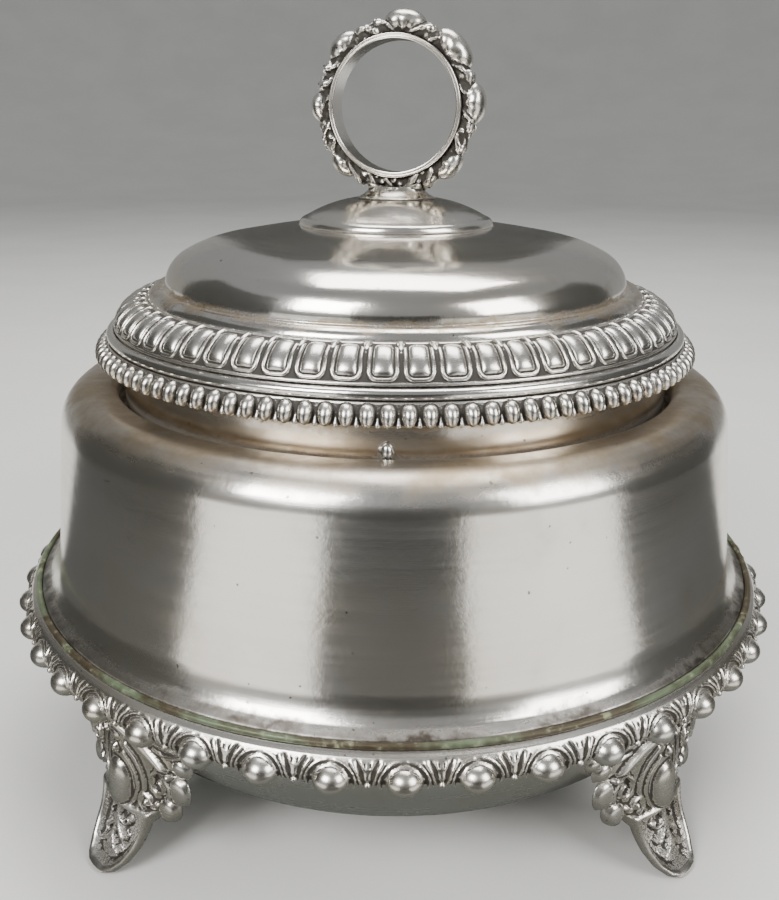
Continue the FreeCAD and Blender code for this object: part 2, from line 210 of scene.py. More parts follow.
def area_sign(loop):
    """Positive when a closed section runs counterclockwise."""
    x, y = loop[:, 0], loop[:, 1]
    return np.sign(np.sum(x * np.roll(y, -1) - np.roll(x, -1) * y))


def lathe(name, loop, body, material):
    """Turn a closed section into a solid ring with outward faces."""
    if area_sign(loop) < 0:
        loop = loop[::-1]
    faces = ring_faces(len(loop), SEGMENTS, True)
    mesh(name, turn_loop(loop, SEGMENTS), faces, body, material)


def edge_round(loop, first, width):
    """Round the corners of a closed section, which is then listed from its place number first."""
    rolled = np.roll(loop, -first, axis=0)
    closed = np.concatenate([rolled, rolled[:1]])
    return soften(closed, width)[:-1]


def spun(name, corners, body, material, softness=0.18):
    """Spun sheet piece from its outer line."""
    path = soften(trace(corners), softness)
    inner = (path + normals_of(path) * SHEET)[::-1]
    start_cap = trace([tuple(inner[-1]), tuple(path[0])])
    end_cap = trace([tuple(path[-1]), tuple(inner[0])])
    ring = np.concatenate([path, end_cap[1:-1], inner, start_cap[1:-1]])
    half = len(path) // 2
    loop = edge_round(ring, half, 0.12)
    loop = thin_out(np.concatenate([loop, loop[:1]]))[:-1]
    lathe(name, loop, body, material)


# ---------------------------------------------------------------------------
# Materials
# ---------------------------------------------------------------------------
class Graph:
    """Short way to write a material's nodes."""

    def __init__(self, name):
        self.material = bpy.data.materials.new(name)
        self.material.use_nodes = True
        self.tree = self.material.node_tree
        self.tree.nodes.clear()
        self.output = self.node("ShaderNodeOutputMaterial")

    def node(self, kind, **settings):
        made = self.tree.nodes.new(kind)
        for key, value in settings.items():
            setattr(made, key, value)
        return made

    def put(self, socket, value):
        if isinstance(value, bpy.types.NodeSocket):
            self.tree.links.new(value, socket)
        else:
            socket.default_value = value

    def math(self, operation, a, b=0.0, clamp=False):
        made = self.node("ShaderNodeMath", operation=operation, use_clamp=clamp)
        self.put(made.inputs[0], a)
        self.put(made.inputs[1], b)
        return made.outputs[0]

    def plus(self, a, b, clamp=False):
        return self.math("ADD", a, b, clamp)

    def times(self, a, b):
        return self.math("MULTIPLY", a, b)

    def ramp(self, value, low, high, to_low=0.0, to_high=1.0):
        made = self.node("ShaderNodeMapRange", interpolation_type="SMOOTHSTEP")
        self.put(made.inputs["Value"], value)
        for key, number in (("From Min", low), ("From Max", high), ("To Min", to_low), ("To Max", to_high)):
            self.put(made.inputs[key], number)
        return made.outputs["Result"]

    def mix(self, factor, a, b):
        made = self.node("ShaderNodeMix", data_type="RGBA")
        self.put(made.inputs["Factor"], factor)
        self.put(made.inputs["A"], a)
        self.put(made.inputs["B"], b)
        return made.outputs["Result"]

    def place(self):
        return self.node("ShaderNodeTexCoord").outputs["Object"]

    def noise(self, vector, scale, detail=3.0, roughness=0.55):
        made = self.node("ShaderNodeTexNoise")
        self.put(made.inputs["Vector"], vector)
        self.put(made.inputs["Scale"], scale)
        self.put(made.inputs["Detail"], detail)
        self.put(made.inputs["Roughness"], roughness)
        return made.outputs["Fac"]

    def spin_vector(self, scale_round, scale_up):
        """Coordinates (angle, radius, height), so that a texture can run round the bowl."""
        parts = self.node("ShaderNodeSeparateXYZ")
        self.put(parts.inputs[0], self.place())
        angle = self.math("ARCTAN2", parts.outputs["Y"], parts.outputs["X"])
        radius = self.node("ShaderNodeVectorMath", operation="LENGTH")
        flat = self.node("ShaderNodeCombineXYZ")
        self.put(flat.inputs[0], parts.outputs["X"])
        self.put(flat.inputs[1], parts.outputs["Y"])
        self.put(radius.inputs[0], flat.outputs[0])
        made = self.node("ShaderNodeCombineXYZ")
        self.put(made.inputs[0], self.times(angle, scale_round))
        self.put(made.inputs[1], self.times(radius.outputs["Value"], scale_up))
        self.put(made.inputs[2], self.times(parts.outputs["Z"], scale_up))
        return made.outputs[0]

    def finish(self, inputs, height=None, strength=0.0, distance=0.0):
        """Surface with these inputs, and with a bump from height if there is one."""
        shader = self.node("ShaderNodeBsdfPrincipled")
        for key, value in inputs.items():
            self.put(shader.inputs[key], value)
        if height is not None:
            bump = self.node("ShaderNodeBump")
            bump.inputs["Strength"].default_value = strength
            bump.inputs["Distance"].default_value = distance
            self.put(bump.inputs["Height"], height)
            self.put(shader.inputs["Normal"], bump.outputs[0])
        self.put(self.output.inputs["Surface"], shader.outputs[0])
        return self.material


# Colour of the recesses: black tarnish together with painted shade.
RECESS_TARNISH_AND_SHADE = (0.028, 0.023, 0.017, 1)
CREVICE_REACH = 0.0022


def old_silver(name, colour, roughness, tarnish_and_shade_strength=0.6, hollow=False, spin=0.35, haze=0.5, bands=()):
    """Worn silver plate: bright metal with haze, fine scratches, brown tarnish, and black in the recesses
    that is partly tarnish and partly painted shade.

    bands are (height in metres, reach, strength, colour) of colour that lies round the bowl: tarnish, or
    painted shade.
    hollow takes the recesses from the mesh as well as from how closed in a place is.
    """
    g = Graph(name)
    place = g.place()
    cloud = g.noise(place, 28.0, 4.0, 0.6)
    patch = g.noise(place, 70.0, 5.0, 0.65)
    fine = g.noise(place, 900.0, 3.0, 0.6)
    lines = g.noise(g.spin_vector(6.0, 5200.0), 1.0, 3.0, 0.6)
    sweep = g.noise(g.spin_vector(2.2, 900.0), 1.0, 2.0, 0.5)

    yellower = [c * k for c, k in zip(colour[:3], (0.93, 0.90, 0.84))] + [1]
    metal = g.mix(g.ramp(cloud, 0.35, 0.7), colour, yellower)
    metal = g.mix(g.ramp(patch, 0.56, 0.78, 0.0, haze), metal, (0.50, 0.43, 0.33, 1))
    rough = g.plus(g.ramp(sweep, 0.3, 0.7, roughness * 0.9, roughness * 1.1),
                   g.ramp(patch, 0.45, 0.75, 0.0, 0.10 * haze))
    specks = g.ramp(g.noise(place, 750.0, 1.0, 0.4), 0.775, 0.80, 0.0, 0.8)
    metal = g.mix(specks, metal, (0.16, 0.13, 0.10, 1))

    height = g.node("ShaderNodeSeparateXYZ")
    g.put(height.inputs[0], place)
    wobble = g.times(g.math("SUBTRACT", g.noise(place, 160.0, 4.0, 0.65), 0.5), 0.006)
    level = g.plus(height.outputs["Z"], wobble)
    for centre, reach, strength, tint in bands:
        near = g.ramp(g.math("ABSOLUTE", g.math("SUBTRACT", level, centre)), 0.0, reach, strength, 0.0)
        near = g.times(near, g.ramp(patch, 0.25, 0.65, 0.45, 1.0))
        metal = g.mix(near, metal, tint)
        rough = g.plus(rough, g.times(near, 0.25))

    # Painted shade: an ambient occlusion mask, with the mesh's hollowness, darkens the recesses along with
    # the tarnish that lies there.
    occlusion = g.node("ShaderNodeAmbientOcclusion", samples=8, only_local=False)
    g.put(occlusion.inputs["Distance"], CREVICE_REACH)
    crevice = g.ramp(occlusion.outputs["AO"], 0.3, 0.8, tarnish_and_shade_strength, 0.0)
    if hollow:
        recess = g.node("ShaderNodeAttribute", attribute_name="hollow").outputs["Fac"]
        crevice = g.math("MAXIMUM", g.times(crevice, 0.8), g.times(recess, tarnish_and_shade_strength))
    uneven = g.ramp(g.noise(place, 420.0, 4.0, 0.6), 0.3, 0.6, 0.75, 1.1)
    grain = g.ramp(g.noise(place, 3400.0, 1.0), 0.40, 0.60, -0.3, 0.35)
    partly = g.times(g.ramp(crevice, 0.1, 0.35), g.math("SUBTRACT", 1.0, crevice, True))
    tarnish_and_shade = g.plus(g.times(crevice, uneven), g.times(partly, grain), True)
    if hollow:
        tarnish_and_shade = g.ramp(tarnish_and_shade, 0.08, 0.64)

    relief = g.plus(g.times(lines, 0.14 * min(1.0, spin * 2)), g.times(fine, 0.35))
    relief = g.plus(relief, g.times(g.noise(place, 90.0, 2.0), 1.2))
    relief = g.plus(relief, g.times(g.times(partly, grain), -3.0))
    return g.finish({
        "IOR": 1.5,
        "Anisotropic": spin,
        "Anisotropic Rotation": 0.25,
        "Tangent": g.node("ShaderNodeTangent", direction_type="RADIAL", axis="Z").outputs[0],
        "Base Color": g.mix(tarnish_and_shade, metal, RECESS_TARNISH_AND_SHADE),
        "Metallic": g.math("SUBTRACT", 1.0, g.times(tarnish_and_shade, 0.9)),
        "Roughness": g.plus(rough, g.times(tarnish_and_shade, 0.35), True),
    }, relief, 0.12, 0.0004)


def z_metres(rise):
    """Height in metres of a height given in millimetres from the seam."""
    return (SEAM + rise) * MM


WARM = (0.91, 0.875, 0.825, 1)
BROWN = (0.33, 0.24, 0.13, 1)
PAINTED_FOOT_SHADE = (0.10, 0.085, 0.07, 1)
SILVER = {
    "drum": old_silver("silver_drum", WARM, 0.2, 0.7, spin=0.5, haze=0.3, bands=[
        (z_metres(41.4), 0.0045, 0.85, BROWN),
        # Painted shade: a dark band on the drum's foot just above the seam wire; the brown band above is
        # tarnish.
        (z_metres(0.3), 0.0020, 1.0, PAINTED_FOOT_SHADE)]),
    "pan": old_silver("silver_pan", (0.70, 0.69, 0.66, 1), 0.25, 0.7, spin=0.3, haze=0.6),
    "dome": old_silver("silver_dome", WARM, 0.15, 0.8, spin=0.2, haze=0.35, bands=[
        (z_metres(60.8), 0.0012, 0.8, BROWN)]),
    "plate": old_silver("silver_plate", WARM, 0.19, 0.8, spin=0.2, haze=0.25),
    "collar": old_silver("silver_collar", (0.72, 0.67, 0.60, 1), 0.2, 0.7, spin=0.3, haze=0.6, bands=[
        (z_metres(46.8), 0.0022, 0.9, BROWN)]),
    "wire": old_silver("silver_wire", WARM, 0.16, 0.9, spin=0.2, haze=0.3),
    "cast": old_silver("silver_cast", (0.76, 0.73, 0.68, 1), 0.26, 1.0, hollow=True, spin=0.0, haze=0.35),
    "solder": old_silver("solder", (0.80, 0.80, 0.78, 1), 0.24, 0.8, hollow=True, spin=0.0, haze=0.2),
}


def seam_metal():
    """Dull brass, gone green and brown."""
    g = Graph("seam_verdigris")
    place = g.place()
    broad = g.noise(place, 60.0, 4.0, 0.6)
    small = g.noise(place, 480.0, 4.0, 0.65)
    colour = g.mix(g.ramp(broad, 0.47, 0.62), (0.065, 0.052, 0.03, 1), (0.12, 0.15, 0.09, 1))
    colour = g.mix(g.ramp(small, 0.54, 0.74), colour, (0.26, 0.28, 0.16, 1))
    return g.finish({
        "Base Color": colour,
        "Metallic": g.ramp(small, 0.4, 0.7, 0.5, 0.1),
        "Roughness": g.ramp(small, 0.3, 0.7, 0.35, 0.6),
    }, small, 0.5, 0.0003)


def fixing_metal():
    """Dull brass of the hidden fixings."""
    g = Graph("fixing_brass")
    cloud = g.noise(g.place(), 300.0, 4.0, 0.6)
    return g.finish({
        "Base Color": g.mix(g.ramp(cloud, 0.4, 0.65), (0.72, 0.55, 0.27, 1), (0.36, 0.26, 0.13, 1)),
        "Metallic": 1.0,
        "Roughness": g.ramp(cloud, 0.3, 0.7, 0.28, 0.5),
    }, cloud, 0.15, 0.0002)


BRASS = fixing_metal()


# ---------------------------------------------------------------------------
# Camera, floor and light
# ---------------------------------------------------------------------------
def make_camera():
    """Camera close in front of the bowl, a little above it."""
    data = bpy.data.cameras.new("camera")
    camera = add("camera", data)
    away, above, down, roll = 200.4 * MM, (SEAM + 92.56) * MM, math.radians(19.57), math.radians(0.45)
    camera.matrix_world = (Matrix.Translation((0.0, -away, above))
                           @ Matrix.Rotation(math.pi / 2 - down, 4, "X") @ Matrix.Rotation(roll, 4, "Z"))
    data.sensor_width = 36
    data.lens = 36.588
    data.shift_x = -0.0055
    data.clip_start = 0.005
    data.clip_end = 50
    bpy.context.scene.camera = camera


def make_floor():
    """Round pale floor that rises in a wide curve at its rim."""
    flat, rise, segments = 1.6, 1.4, 96
    curve = [(flat + rise * math.sin(a), rise * (1 - math.cos(a))) for a in np.linspace(0, 1.15, 24)]
    path = np.array([(0.25, 0.0), (0.7, 0.0)] + curve)
    vertices = np.concatenate([turn_loop(path, segments), [[0, 0, 0]]])
    faces = [face[::-1] for face in ring_faces(len(path), segments, False)]
    faces += [(len(path) * segments, k, (k + 1) % segments) for k in range(segments)]
    floor = smooth_object("floor", vertices, faces)
    g = Graph("pale_floor")
    tone = g.ramp(g.noise(g.place(), 9.0, 4.0), 0.3, 0.7)
    dress(floor, g.finish({
        "Base Color": g.mix(tone, (0.70, 0.69, 0.66, 1), (0.74, 0.73, 0.70, 1)),
        "Roughness": 0.7,
    }))


def soft_light(name, place, aim, size, power):
    """Rectangular softbox that the camera doesn't see."""
    data = bpy.data.lights.new(name, "AREA")
    data.shape = "RECTANGLE"
    data.size, data.size_y = size
    data.energy = power
    lamp = add(name, data)
    lamp.location = place
    lamp.rotation_mode = "QUATERNION"
    lamp.rotation_quaternion = (Vector(aim) - Vector(place)).to_track_quat("-Z", "Y")
    lamp.visible_camera = False


def make_light():
    """Soft lights at the left, at the right and on top, in a dim grey world."""
    world = bpy.data.worlds.new("studio")
    bpy.context.scene.world = world
    world.use_nodes = True
    back = world.node_tree.nodes["Background"]
    back.inputs["Color"].default_value = (0.62, 0.64, 0.66, 1)
    back.inputs["Strength"].default_value = 0.42
    middle = (0, 0, 0.08)
    soft_light("key", (-0.55, -0.75, 0.75), middle, (0.5, 0.5), 14)
    soft_light("fill", (0.75, -0.55, 0.6), middle, (0.5, 0.6), 9)
    soft_light("top", (0.05, 0.25, 1.0), middle, (0.7, 0.5), 9)


def matte(name, shade):
    """Dull material of one shade."""
    return Graph(name).finish({"Base Color": shade, "Roughness": 0.9})


def dark_card(name, points, faces, material):
    """Card that only mirror-like surfaces see: a painted dark reflection."""
    data = bpy.data.meshes.new(name)
    data.from_pydata(points, [], faces)
    card = add(name, data)
    card.visible_camera = card.visible_diffuse = card.visible_shadow = False
    card.visible_transmission = card.visible_volume_scatter = False
    dress(card, material)


def make_flags():
    """Dark disc under the bowl and dark cards round it, seen only in the metal: painted dark reflections, to
    model it.
    """
    card = matte("dark_card", (0.035, 0.036, 0.034, 1))
    sides, reach = 64, 0.15
    rim = [TAU * k / sides for k in range(sides)]
    disc = [(reach * math.cos(a), reach * math.sin(a), 0.001) for a in rim]
    # Painted dark reflection: a dark disc under the bowl that only the metal sees.
    dark_card("flag_table", disc, [tuple(range(sides))],
              matte("dark_table_reflection", (0.12, 0.125, 0.115, 1)))
    near, distance, columns = 0.12, 0.34, 17
    for name, middle, half, height in (("front", -90, 19, 0.2), ("right", 0, 25, 0.36),
                                       ("back", 90, 19, 0.36), ("left", 185, 30, 0.36)):
        angles = [math.radians(middle + half * t) for t in np.linspace(-1, 1, columns)]
        rows = [(near, 0.002), (distance, 0.002), (distance, height)]
        points = [(r * math.cos(a), r * math.sin(a), z) for r, z in rows for a in angles]
        quads = [(k, k + 1, k + columns + 1, k + columns)
                 for k in range(2 * columns - 1) if k != columns - 1]
        dark_card("flag_" + name, points, quads, card)


make_camera()
make_floor()
make_light()
make_flags()


# ---------------------------------------------------------------------------
# Spun and plain pieces
# ---------------------------------------------------------------------------
def make_drum():
    """Drum with flared foot, conical wall, round shoulder and turned-down mouth."""
    corners = [
        (FOOT_RADIUS, FLANGE),
        (FOOT_RADIUS, SEAM + 0.4),
        (FOOT_RADIUS - 1.8, SEAM + 1.5),
        (FOOT_RADIUS - 4.2, SEAM + 6.5, 9),
        (FOOT_RADIUS - 7.4, SHOULDER_TOP - 7.2),
        (FOOT_RADIUS - 14.6, SHOULDER_TOP, -7.2),
        (61.7, SHOULDER_TOP - 0.1),
        (60.1, SHOULDER_TOP - 1.4, -1.9),
        (60.1, SHOULDER_TOP - 3.6),
    ]
    spun("body_drum", corners, "bowl", SILVER["drum"])


def make_dome():
    """Lid shell: skirt, quarter round under the bands, step, groove and dome."""
    corners = [
        (SKIRT_RADIUS, SKIRT_BOTTOM),
        (SKIRT_RADIUS, SEAM + 51.5),
        (SKIRT_RADIUS - 6.7, SEAM + 58.2, -6.7),
        (SKIRT_RADIUS - 6.7, SEAM + 58.9),
        (49.8, DOME_TOP - 13.1, -2.2),
        (48.9, DOME_TOP - 13.1),
        (48.9, DOME_TOP - 11.75),
        (44.6, DOME_TOP - 6.35, -7.7),
        (36.0, DOME_TOP - 3.55, -24.7),
        (2.1, DOME_TOP, -184),
    ]
    spun("lid_dome", corners, "lid", SILVER["dome"])


def make_plate():
    """Finial plate with a rolled rim and a small throat."""
    low = span("finial_plate")[0].z
    corners = [
        (PLATE_RADIUS, low),
        (PLATE_RADIUS - 1.4, DOME_TOP + 0.6, -1.6),
        (9.0, PLATE_TOP, -28),
        (2.1, PLATE_TOP),
    ]
    spun("finial_plate", corners, "lid", SILVER["plate"], 0.3)


def make_pan():
    """Shallow pan, closed at its centre."""
    low = span("base_pan")[0].z
    rim = span("base_pan")[1].z
    radius = span("base_pan")[1].x
    outer = soften(trace([
        (0.0, low),
        (8.0, low),
        (32.0, low + 0.5, -600),
        (57.0, low + 5.1, -85),
        (radius - 3.4, low + 16.0, -27),
        (radius, SEAM - 9.5, -22),
        (radius, rim),
    ]), 0.3)
    inner = (outer + normals_of(outer) * SHEET)[::-1]
    section = np.concatenate([thin_out(outer), thin_out(inner)])
    section[0, 0] = section[-1, 0] = 0.0
    ring = turn_loop(section[1:-1], SEGMENTS)
    vertices = np.concatenate([ring, [[0, 0, section[0, 1]], [0, 0, section[-1, 1]]]])
    faces = [face[::-1] for face in capped_faces(len(section) - 2, SEGMENTS)]
    mesh("base_pan", vertices, faces, "bowl", SILVER["pan"])


def plain_ring(name, corners, body, material, softness=0.12):
    """Turned ring from the corners of its section."""
    path = trace(list(corners) + [corners[0][:2]])
    loop = edge_round(path[:-1], len(path) // 3, softness)
    loop = thin_out(np.concatenate([loop, loop[:1]]))[:-1]
    lathe(name, loop, body, material)


def make_collar():
    """Plain bezel."""
    low, high = span("lid_collar")
    plain_ring("lid_collar", [
        (COLLAR_RADIUS - SHEET, low.z), (COLLAR_RADIUS, low.z),
        (COLLAR_RADIUS, high.z), (COLLAR_RADIUS - SHEET, high.z),
    ], "lid", SILVER["collar"])


def make_seat():
    """Ledge inside the mouth."""
    low, high = span("mouth_seat_ring")
    outer = high.x
    plain_ring("mouth_seat_ring", [
        (56.0, low.z), (outer, low.z), (outer, high.z), (outer - SHEET, high.z),
        (outer - SHEET, low.z + SHEET), (56.0, low.z + SHEET),
    ], "bowl", SILVER["collar"])


def wavy_wire(name, radius, height, thickness, body, material, waver):
    """Wire laid round the bowl, never quite even."""
    segments, sides = 720, 20
    angles = np.linspace(0, TAU, segments, endpoint=False)
    wave = sum(np.sin(angles * k + k * k) / math.sqrt(k) for k in (3, 7, 11, 23, 41, 67))
    around = np.linspace(0, TAU, sides, endpoint=False)
    thick = thickness * (1 + waver * 0.25 * wave)[None, :]
    r = radius + thick * np.cos(around)[:, None]
    z = height + thick * np.sin(around)[:, None]
    vertices = np.stack([r * np.cos(angles), r * np.sin(angles), z], 2).reshape(-1, 3)
    faces = ring_faces(sides, segments, True)
    mesh(name, vertices, faces, body, material)


def make_wires():
    """Brass wire at the seam and plain wire on the lid."""
    low, high = span("seam_wire")
    thick = (high.z - low.z) / 2
    wavy_wire("seam_wire", high.x - thick, low.z + thick, thick * 0.97, "bowl",
              seam_metal(), 0.08)
    low, high = span("lid_plain_wire")
    thick = (high.z - low.z) / 2
    wavy_wire("lid_plain_wire", high.x - thick, low.z + thick, thick, "lid",
              SILVER["wire"], 0.0)


make_drum()
make_dome()
make_plate()
make_pan()
make_collar()
make_seat()
make_wires()


# ---------------------------------------------------------------------------
# Fields: distances in millimetres on a grid, negative inside the metal
# ---------------------------------------------------------------------------
def blend_max(a, b, k):
    """Greater of two fields with a fillet of about k."""
    t = np.clip(0.5 + 0.5 * (a - b) / k, 0, 1)
    return b + (a - b) * t + k * t * (1 - t)


def blend_min(a, b, k):
    """Lesser of two fields with a fillet of about k: the union of two shapes."""
    return -blend_max(-a, -b, k)


def bowed(points, step=0.35):
    """Even points on a smooth curve through a few given ones."""
    points = np.array(points, float)
    if len(points) < 3:
        return points
    ends = np.concatenate([[2 * points[0] - points[1]], points, [2 * points[-1] - points[-2]]])
    made = [points[0]]
    for a, b, c, d in zip(ends[:-3], ends[1:-2], ends[2:-1], ends[3:]):
        count = max(2, int(np.linalg.norm(c - b) / step) + 1)
        for t in np.linspace(0, 1, count + 1)[1:]:
            made.append(0.5 * (2 * b + (c - a) * t + (2 * a - 5 * b + 4 * c - d) * t * t
                               + (3 * b - a - 3 * c + d) * t ** 3))
    return np.array(made)


def to_line(place, points):
    """Distance to a line through points, and how far along it (0 to 1) its nearest place lies."""
    points = np.array(points, float)
    lengths = np.linalg.norm(np.diff(points, axis=0), axis=1)
    marks = np.concatenate([[0], np.cumsum(lengths)]) / lengths.sum()
    near = np.full(np.broadcast(*place).shape, 1e9)
    along = np.zeros_like(near)
    for p, q, m0, m1 in zip(points[:-1], points[1:], marks[:-1], marks[1:]):
        way = q - p
        t = sum((c - a) * w for c, a, w in zip(place, p, way)) / (way @ way)
        t = np.clip(t, 0, 1)
        gap = np.sqrt(sum((c - a - t * w) ** 2 for c, a, w in zip(place, p, way)))
        closer = gap < near
        near = np.where(closer, gap, near)
        along = np.where(closer, m0 + t * (m1 - m0), along)
    return near, along


def tube(place, points, start, end, middle=None):
    """Round stroke along a curve, its radius going from start through middle to end."""
    near, along = to_line(place, bowed(points))
    middle = (start + end) / 2 if middle is None else middle
    return near - np.interp(along, [0, 0.5, 1], [start, middle, end])


def oval(place, centre, radii):
    """Ellipsoid."""
    scaled = [(c - m) / r for c, m, r in zip(place, centre, radii)]
    length = np.sqrt(sum(s * s for s in scaled))
    steep = np.sqrt(sum((s / r) ** 2 for s, r in zip(scaled, radii)))
    return length * (length - 1) / np.maximum(steep, 1e-6)


def to_outline(x, y, corners):
    """Signed distance to a closed outline, negative inside."""
    corners = np.array(corners, float)
    near = np.full(np.broadcast(x, y).shape, 1e9)
    inside = np.zeros(near.shape, bool)
    for (ax, ay), (bx, by) in zip(corners, np.roll(corners, -1, axis=0)):
        wx, wy = bx - ax, by - ay
        t = np.clip(((x - ax) * wx + (y - ay) * wy) / (wx * wx + wy * wy + 1e-12), 0, 1)
        near = np.minimum(near, (x - ax - t * wx) ** 2 + (y - ay - t * wy) ** 2)
        crosses = ((ay > y) != (by > y)) & (x < (y - ay) * wx / (wy + 1e-12) + ax)
        inside ^= crosses
    return np.where(inside, -1, 1) * np.sqrt(near)


def blur(values, width):
    """Gaussian blur of a grid by width steps."""
    reach = int(2.5 * width) + 1
    weights = np.exp(-0.5 * (np.arange(-reach, reach + 1) / width) ** 2)
    weights /= weights.sum()
    for axis in range(3):
        values = sum(w * np.roll(values, s, axis) for s, w in zip(range(-reach, reach + 1), weights))
    return values


def grid(low, high, step):
    """Axis values of a box of grid points; the first axis leaves out its last point."""
    counts = [max(2, round((h - l) / step)) for l, h in zip(low, high)]
    steps = [(h - l) / n for l, h, n in zip(low, high, counts)]
    axes = [l + s * np.arange(n + (k > 0)) for k, (l, s, n) in enumerate(zip(low, steps, counts))]
    shaped = [axis.reshape([-1 if k == n else 1 for n in range(3)]) for k, axis in enumerate(axes)]
    return shaped, np.array(low, float), np.array(steps)


def cell_grid(pitch, low, high, step):
    """Grid of one cell of a repeated ornament; its first axis is the share of the cell, 0 to 1."""
    (_, second, third), low, steps = grid((0, *low), (1, *high), step)
    count = round(pitch / step)
    steps[0] = 1 / count
    return (np.arange(count) / count).reshape(-1, 1, 1), second, third, low, steps


def net(field, low, steps, reach=0.55):
    """Skin of a field that repeats along its first axis: places, faces with their wraps, hollowness.

    Hollowness goes from 0 to 1 where the skin lies under itself evened out over about reach.
    """
    count = field.shape[0]
    field = np.concatenate([field, field[:1]])
    inside = field < 0
    shape = (count, field.shape[1] - 1, field.shape[2] - 1)
    corners = [(a, b, c) for a in (0, 1) for b in (0, 1) for c in (0, 1)]
    filled = sum(inside[a:a + shape[0], b:b + shape[1], c:c + shape[2]].astype(int) for a, b, c in corners)
    cells = np.argwhere((filled > 0) & (filled < 8))
    number = np.full(shape, -1)
    number[tuple(cells.T)] = np.arange(len(cells))

    value = {c: field[tuple((cells + c).T)] for c in corners}
    total, hits = np.zeros((len(cells), 3)), np.zeros(len(cells))
    for axis in range(3):
        for corner in corners:
            if corner[axis]:
                continue
            far = tuple(c + (k == axis) for k, c in enumerate(corner))
            a, b = value[corner], value[far]
            cross = (a < 0) != (b < 0)
            t = np.where(cross, a / np.where(cross, a - b, 1), 0)
            spot = np.array(corner, float) + t[:, None] * np.eye(3)[axis]
            total += np.where(cross[:, None], spot, 0)
            hits += cross
    spots = cells + total / hits[:, None]

    faces, wraps = [], []
    turns = {0: (1, 2), 1: (2, 0), 2: (0, 1)}
    for axis in range(3):
        ahead = [slice(None)] * 3
        ahead[axis] = slice(1, None)
        behind = [slice(None)] * 3
        behind[axis] = slice(None, -1)
        flips = inside[tuple(behind)] != inside[tuple(ahead)]
        if axis:
            flips = flips[:-1]
        edges = np.argwhere(flips)
        first, second = turns[axis]
        ring, wrap = [], []
        for da, db in ((-1, -1), (0, -1), (0, 0), (-1, 0)):
            cell = edges.copy()
            cell[:, first] += da
            cell[:, second] += db
            past = cell[:, 0] < 0
            cell[:, 0] %= count
            ring.append(number[tuple(cell.T)])
            wrap.append(-past.astype(int))
        ring, wrap = np.stack(ring, 1), np.stack(wrap, 1)
        leaving = inside[tuple(edges.T)]
        ring[~leaving] = ring[~leaving][:, ::-1]
        wrap[~leaving] = wrap[~leaving][:, ::-1]
        faces.append(ring)
        wraps.append(wrap)

    faces, wraps = np.concatenate(faces), np.concatenate(wraps)
    spots = settle(spots, faces, wraps, field)
    depth = steps[1] * sunk(spots, faces, wraps, field, round((reach / steps[1]) ** 2))
    return low + spots * steps, faces, wraps, np.clip((depth - 0.005) / 0.035, 0, 1)


def sample(values, spots):
    """Value of a grid between its points."""
    last = np.array(values.shape) - 1
    base = np.clip(np.floor(spots).astype(int), 0, last - 1)
    part = np.clip(spots - base, 0, 1)
    total = 0
    for corner in np.ndindex(2, 2, 2):
        weight = np.prod(np.where(corner, part, 1 - part), axis=1)
        total = total + weight * values[tuple((base + corner).T)]
    return total


def even_out(spots, faces, wraps, count):
    """One round of smoothing on a skin that repeats every count steps."""
    corners = spots[faces]
    corners[:, :, 0] += wraps * count
    pull = corners.mean(axis=1)[:, None, :] - corners
    number = np.bincount(faces.ravel(), minlength=len(spots))
    shift = [np.bincount(faces.ravel(), pull[:, :, k].ravel(), len(spots)) / number for k in range(3)]
    return spots + 0.6 * np.stack(shift, 1)


def slope_at(spots, field):
    """Gradient of a field between its points."""
    return np.stack([sample(part, spots) for part in np.gradient(field)], 1)


def settle(spots, faces, wraps, field):
    """Even out a skin and pull it back to the field's zero level; all in grid steps."""
    count = field.shape[0] - 1
    for _ in range(3):
        spots = even_out(spots, faces, wraps, count)
        inside = spots % [count, 1e9, 1e9]
        height, slope = sample(field, inside), slope_at(inside, field)
        steep = np.maximum((slope * slope).sum(1), 1e-6)
        trusted = np.abs(height / np.sqrt(steep)) < 1
        spots = spots - (np.clip(height / steep, -1, 1) * trusted)[:, None] * slope
    return spots


def sunk(spots, faces, wraps, field, rounds):
    """How far each place lies under the evened-out skin, in grid steps; recesses are above zero."""
    count = field.shape[0] - 1
    even = spots
    for _ in range(rounds):
        even = even_out(even, faces, wraps, count)
    slope = slope_at(spots % [count, 1e9, 1e9], field)
    slope /= np.sqrt((slope * slope).sum(1))[:, None] + 1e-9
    return ((even - spots) * slope).sum(1)


def net_alone(metal, low, steps, reach=0.55):
    """Skin of a field that doesn't repeat and has air all round: places, faces and hollowness."""
    metal[0] = metal[-1] = 1.0
    places, faces, _, hollow = net(metal, low, steps, reach)
    return places, faces, hollow


def turned(vertices, angle):
    """Vertices turned about Z."""
    c, s = math.cos(angle), math.sin(angle)
    return vertices @ np.array([[c, s, 0], [-s, c, 0], [0, 0, 1]])


def cast(name, vertices, faces, body, hollow):
    """Piece of cast silver."""
    mesh(name, vertices, faces, body, SILVER["cast"], 75, hollow)


def outward(vertices, faces):
    """Faces turned so that a closed mesh has its normals outward."""
    a, b, c = (vertices[faces[:, k]] for k in range(3))
    if np.sum(a * np.cross(b, c)) < 0:
        faces = faces[:, ::-1]
    return faces


def repeat_round(places, faces, wraps, hollow, copies, phase=0.0, to_section=None):
    """Copies of one cell round Z. A place is (angle share of the cell, radius, height)."""
    turns = np.repeat(np.arange(copies), len(places))
    share, r, z = np.tile(places, (copies, 1)).T
    if to_section:
        r, z = to_section(r, z)
    angle = TAU * (turns + share) / copies + phase
    vertices = np.stack([r * np.cos(angle), r * np.sin(angle), z], 1)
    turn = (np.arange(copies)[:, None, None] + wraps) % copies
    joined = (faces + turn * len(places)).reshape(-1, 4)
    return vertices, outward(vertices, joined), np.tile(hollow, copies)


